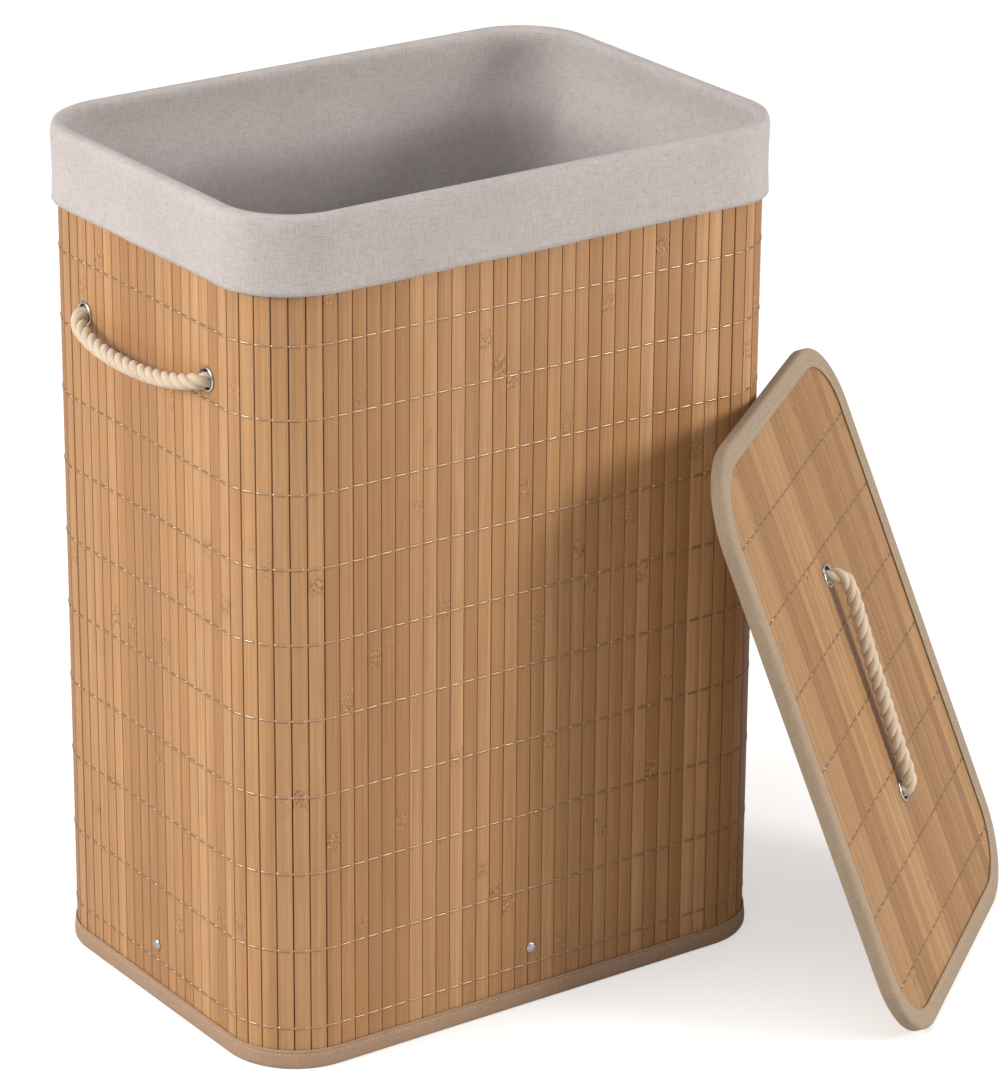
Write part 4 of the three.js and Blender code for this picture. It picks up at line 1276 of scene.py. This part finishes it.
def washer():
    """A flat ring about Z, its back rolled over by the eyelet's tube."""
    hole, rim = 7.35 * MM, 8.5 * MM
    crown = arc_run(((hole + rim) / 2, 0.25 * MM), (rim - hole) / 2, 0, 180, 8, 0.55)
    return lathe("washer", [(hole, 0), (rim, 0), *crown])


def rivet(depth):
    """A domed rivet about Z."""
    head, shank, dome = 4.2 * MM, 1.8 * MM, 2.2 * MM
    seat, skirt = 0.1 * MM, 0.45 * MM
    crown = [(head * math.cos(a), skirt + (dome - skirt) * math.sin(a))
             for a in (math.radians(5 + 80 * i / 9) for i in range(10))]
    profile = [(0, -depth), (shank, -depth), (shank, seat), (head * 0.97, seat), *crown, (0, dome)]
    return lathe("rivet", profile, 40)


def make_fittings():
    """The eyelets, their washers and the rivets, each kind on each body as one piece."""
    wall_fronts = [(wall_spot(node, out), out) for node, out in EYELETS]
    wall_backs = [(spot - out * (SLAT_THICKNESS + 0.3 * MM), -out) for spot, out in wall_fronts]
    rivet_fronts = [(wall_spot(node, out), out) for node, out in RIVETS]
    lid_wall = 2 * LID_HALF_CORE
    lid_face = LID_CENTRE + LID_NORMAL * LID_HALF_CORE
    lid_fronts = [(lid_face + LID_SLOPE * z, LID_NORMAL) for z in LID_EYELET_HEIGHTS]
    lid_backs = [(spot - out * (lid_wall + 0.2 * MM), -out) for spot, out in lid_fronts]
    jobs = [
        ("handle_eyelets", eyelet(4.2 * MM), wall_fronts, UP, "hamper",
         [node for node, _ in EYELETS]),
        ("lid_eyelets", eyelet(lid_wall + 1.2 * MM), lid_fronts, LID_SLOPE, "lid",
         ["lid_eyelet_upper", "lid_eyelet_lower"]),
        ("handle_washers", washer(), wall_backs, UP, "hamper",
         [node.replace("eyelet_", "eyelet_washer_") for node, _ in EYELETS]),
        ("lid_washers", washer(), lid_backs, LID_SLOPE, "lid",
         ["lid_eyelet_washer_upper", "lid_eyelet_washer_lower"]),
        ("wall_rivets", rivet(9 * MM), rivet_fronts, UP, "hamper",
         [node for node, _ in RIVETS]),
    ]
    for name, pattern, spots, along, body, nodes in jobs:
        made = repeated(name, pattern, [(spot, out, along) for spot, out in spots], CHROME)
        bpy.data.objects.remove(pattern)
        crisp(made, 50)
        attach(made, body)
        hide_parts(*nodes)


make_fittings()


# ---- The liner -----------------------------------------------------------------------------

# The middle of the cloth from the cuff's hem over the rim and down to the bag's floor:
# how far out from the slats' outer face, and the height.
LINER_LINE = [
    (3.6, 547.6), (3.4, 550.5), (3.15, 555), (2.95, 561), (2.9, 570), (3.05, 579), (3.35, 586),
    (3.45, 592), (3.1, 596.2), (2.1, 598.6), (0.4, 599.4), (-2.0, 599.4), (-4.4, 599.1),
    (-6.0, 597.4), (-6.6, 594), (-6.8, 588), (-7.2, 580), (-9.5, 571), (-13.5, 560),
    (-18.0, 551), (-21.2, 541), (-21.9, 528),
    *[(-22, height) for height in (500, 460, 410, 350, 290, 230, 170, 120, 85, 68)],
    (-22.6, 59), (-25, 53.6), (-30, 51), (-36, 50.8),
]
CUFF_POINTS = 8  # how many of them, from the hem up, are the cuff's outer side
CUFF_STILL = 590 * MM  # below this height the cuff swings, more and more towards its hem
BAG_TOP = 578 * MM  # below this height the bag hangs in soft folds
BAG_LEVELS = [90 * MM, 230 * MM, 380 * MM, 520 * MM]  # heights where its folds are set
BAG_FOLD = 1.6 * MM  # depth of its folds
LINER_FLOOR_RINGS = 9


def smooth_loop(generator, waves, count):
    """A closed random wave of `count` values, about 1 high, from a few sine waves."""
    angles = np.arange(count) / count * 2 * np.pi
    total = np.zeros(count)
    for wave in waves:
        total += generator.uniform(0.4, 1.0) * np.sin(wave * angles + generator.uniform(0, 2 * np.pi))
    return total / math.sqrt(len(waves))


def even_outline(offset, count):
    """Evenly numbered points on the wall's outline that keep their place at every offset."""
    steps = 40
    dense = hamper_outline(0, steps)
    loop = [*dense, dense[0]]
    lengths = run_lengths(loop)
    moved = hamper_outline(offset, steps)
    moved = np.array([tuple(p) for p in [*moved, moved[0]]])
    wanted = np.arange(count) / count * lengths[-1]
    return np.stack([np.interp(wanted, lengths, moved[:, k]) for k in range(3)], 1), lengths[-1]


def make_liner():
    """The liner as one sheet of cloth, from the cuff's hem over the rim to the bag's floor."""
    generator = random.Random(7)
    count = 420
    line = [(o * MM, z * MM) for o, z in LINER_LINE]
    hem_wave = smooth_loop(generator, [5, 8, 11, 14, 19, 26], count)
    hem_level = smooth_loop(generator, [3, 4, 7, 9, 13], count)
    bag_waves = [smooth_loop(generator, [7, 10, 13, 17, 22], count) for _ in BAG_LEVELS]
    rings, climbs, climb = [], [], 0.0
    previous = None
    for index, (offset, height) in enumerate(line):
        if previous:
            climb += math.dist(previous, (offset, height))
        previous = (offset, height)
        climbs.append(climb)
        if index < CUFF_POINTS:
            share = max(0.0, (CUFF_STILL - height) / 0.046)
            shift = (0.35 + 0.55 * hem_wave) * MM * share**1.4
            rise = 0.7 * MM * hem_level * share
        elif height < BAG_TOP and offset < -7 * MM:
            weights = np.array([max(0.0, 1 - abs(height - level) / 0.15) for level in BAG_LEVELS])
            weights /= max(weights.sum(), 1e-6)
            from_floor = max(0.0, (height - 0.05) / 0.06)
            share = min(1.0, (BAG_TOP - height) / 0.12) * min(1.0, from_floor + 0.15)
            shift = -BAG_FOLD * share * (1.0 + sum(w * wave for w, wave in zip(weights, bag_waves)))
            rise = np.zeros(count)
        else:
            shift, rise = np.zeros(count), np.zeros(count)
        ring, around = even_outline(offset, count)
        outer, _ = even_outline(offset + MM, count)
        direction = (outer - ring) / MM
        ring = ring + direction * np.broadcast_to(shift, (count,))[:, None]
        ring[:, 2] = height + rise
        rings.append(ring)
    floor = rings[-1]
    for step in range(1, LINER_FLOOR_RINGS + 1):
        share = 1 - step / (LINER_FLOOR_RINGS + 1)
        ring = floor * [share, share, 1]
        ring[:, 2] = floor[:, 2] + 0.5 * MM * math.sin(step * 1.9)
        rings.append(ring)
        climb += 0.2 / (LINER_FLOOR_RINGS + 1)
        climbs.append(climb)
    points = [*np.concatenate(rings), (0, 0, floor[0, 2])]
    faces, uvs = [], []
    for i in range(len(rings) - 1):
        for j in range(count):
            k = (j + 1) % count
            faces.append((i * count + j, i * count + k, (i + 1) * count + k, (i + 1) * count + j))
            u0, u1 = j / count * around, (j + 1) / count * around
            uvs += [(u0, climbs[i]), (u1, climbs[i]), (u1, climbs[i + 1]), (u0, climbs[i + 1])]
    last = (len(rings) - 1) * count
    for j in range(count):
        faces.append((last + j, last + (j + 1) % count, len(points) - 1))
        u = j / count * around
        uvs += [(u, climb), (u + around / count, climb), (u, climb + 0.02)]
    mesh = new_mesh("liner", points, faces, material=LINEN)
    set_uv(mesh, uvs)
    cloth = new_object("liner", mesh)
    solid = cloth.modifiers.new("cloth", "SOLIDIFY")
    solid.thickness, solid.offset, solid.use_even_offset = CLOTH, 0.0, True
    made = new_object("linen_liner", evaluated_mesh(cloth))
    made.data.name = "linen_liner"
    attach(made, "liner")
    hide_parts("liner_bag")
    make_hem_stitches(rings[:CUFF_POINTS])


def make_hem_stitches(cuff_rings):
    """The line of stitches that holds the cuff's hem, a little above its edge."""
    heights = [ring[:, 2].mean() for ring in cuff_rings]
    level = heights[0] + HEM_FOLD
    i = next(n for n in range(len(heights) - 1) if heights[n + 1] >= level)
    mix = (level - heights[i]) / (heights[i + 1] - heights[i])
    ring = cuff_rings[i] * (1 - mix) + cuff_rings[i + 1] * mix
    outline = [Vector(p) for p in ring]
    spots = along_outline(outline, HEM_STITCH_PITCH, lambda along: along.cross(UP).normalized())
    places = [(point + facing * (CLOTH / 2), facing, along) for point, facing, along in spots]
    seam = repeated("liner_hem_stitches", STITCH, places, STITCHING)
    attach(seam, "liner")


make_liner()
bpy.data.objects.remove(STITCH)


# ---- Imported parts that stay, with their finishes -------------------------------------------


def refinish(node, material):
    frame["nodes"][node].data.materials.clear()
    frame["nodes"][node].data.materials.append(material)


refinish("base_panel", FELT)
refinish("lid_backing_board", FELT)
for rod in ("brace_rod_long", "brace_rod_short"):
    refinish(rod, STEEL)
for side_name in OUTWARD:
    refinish(f"rod_clip_{side_name}", NYLON)
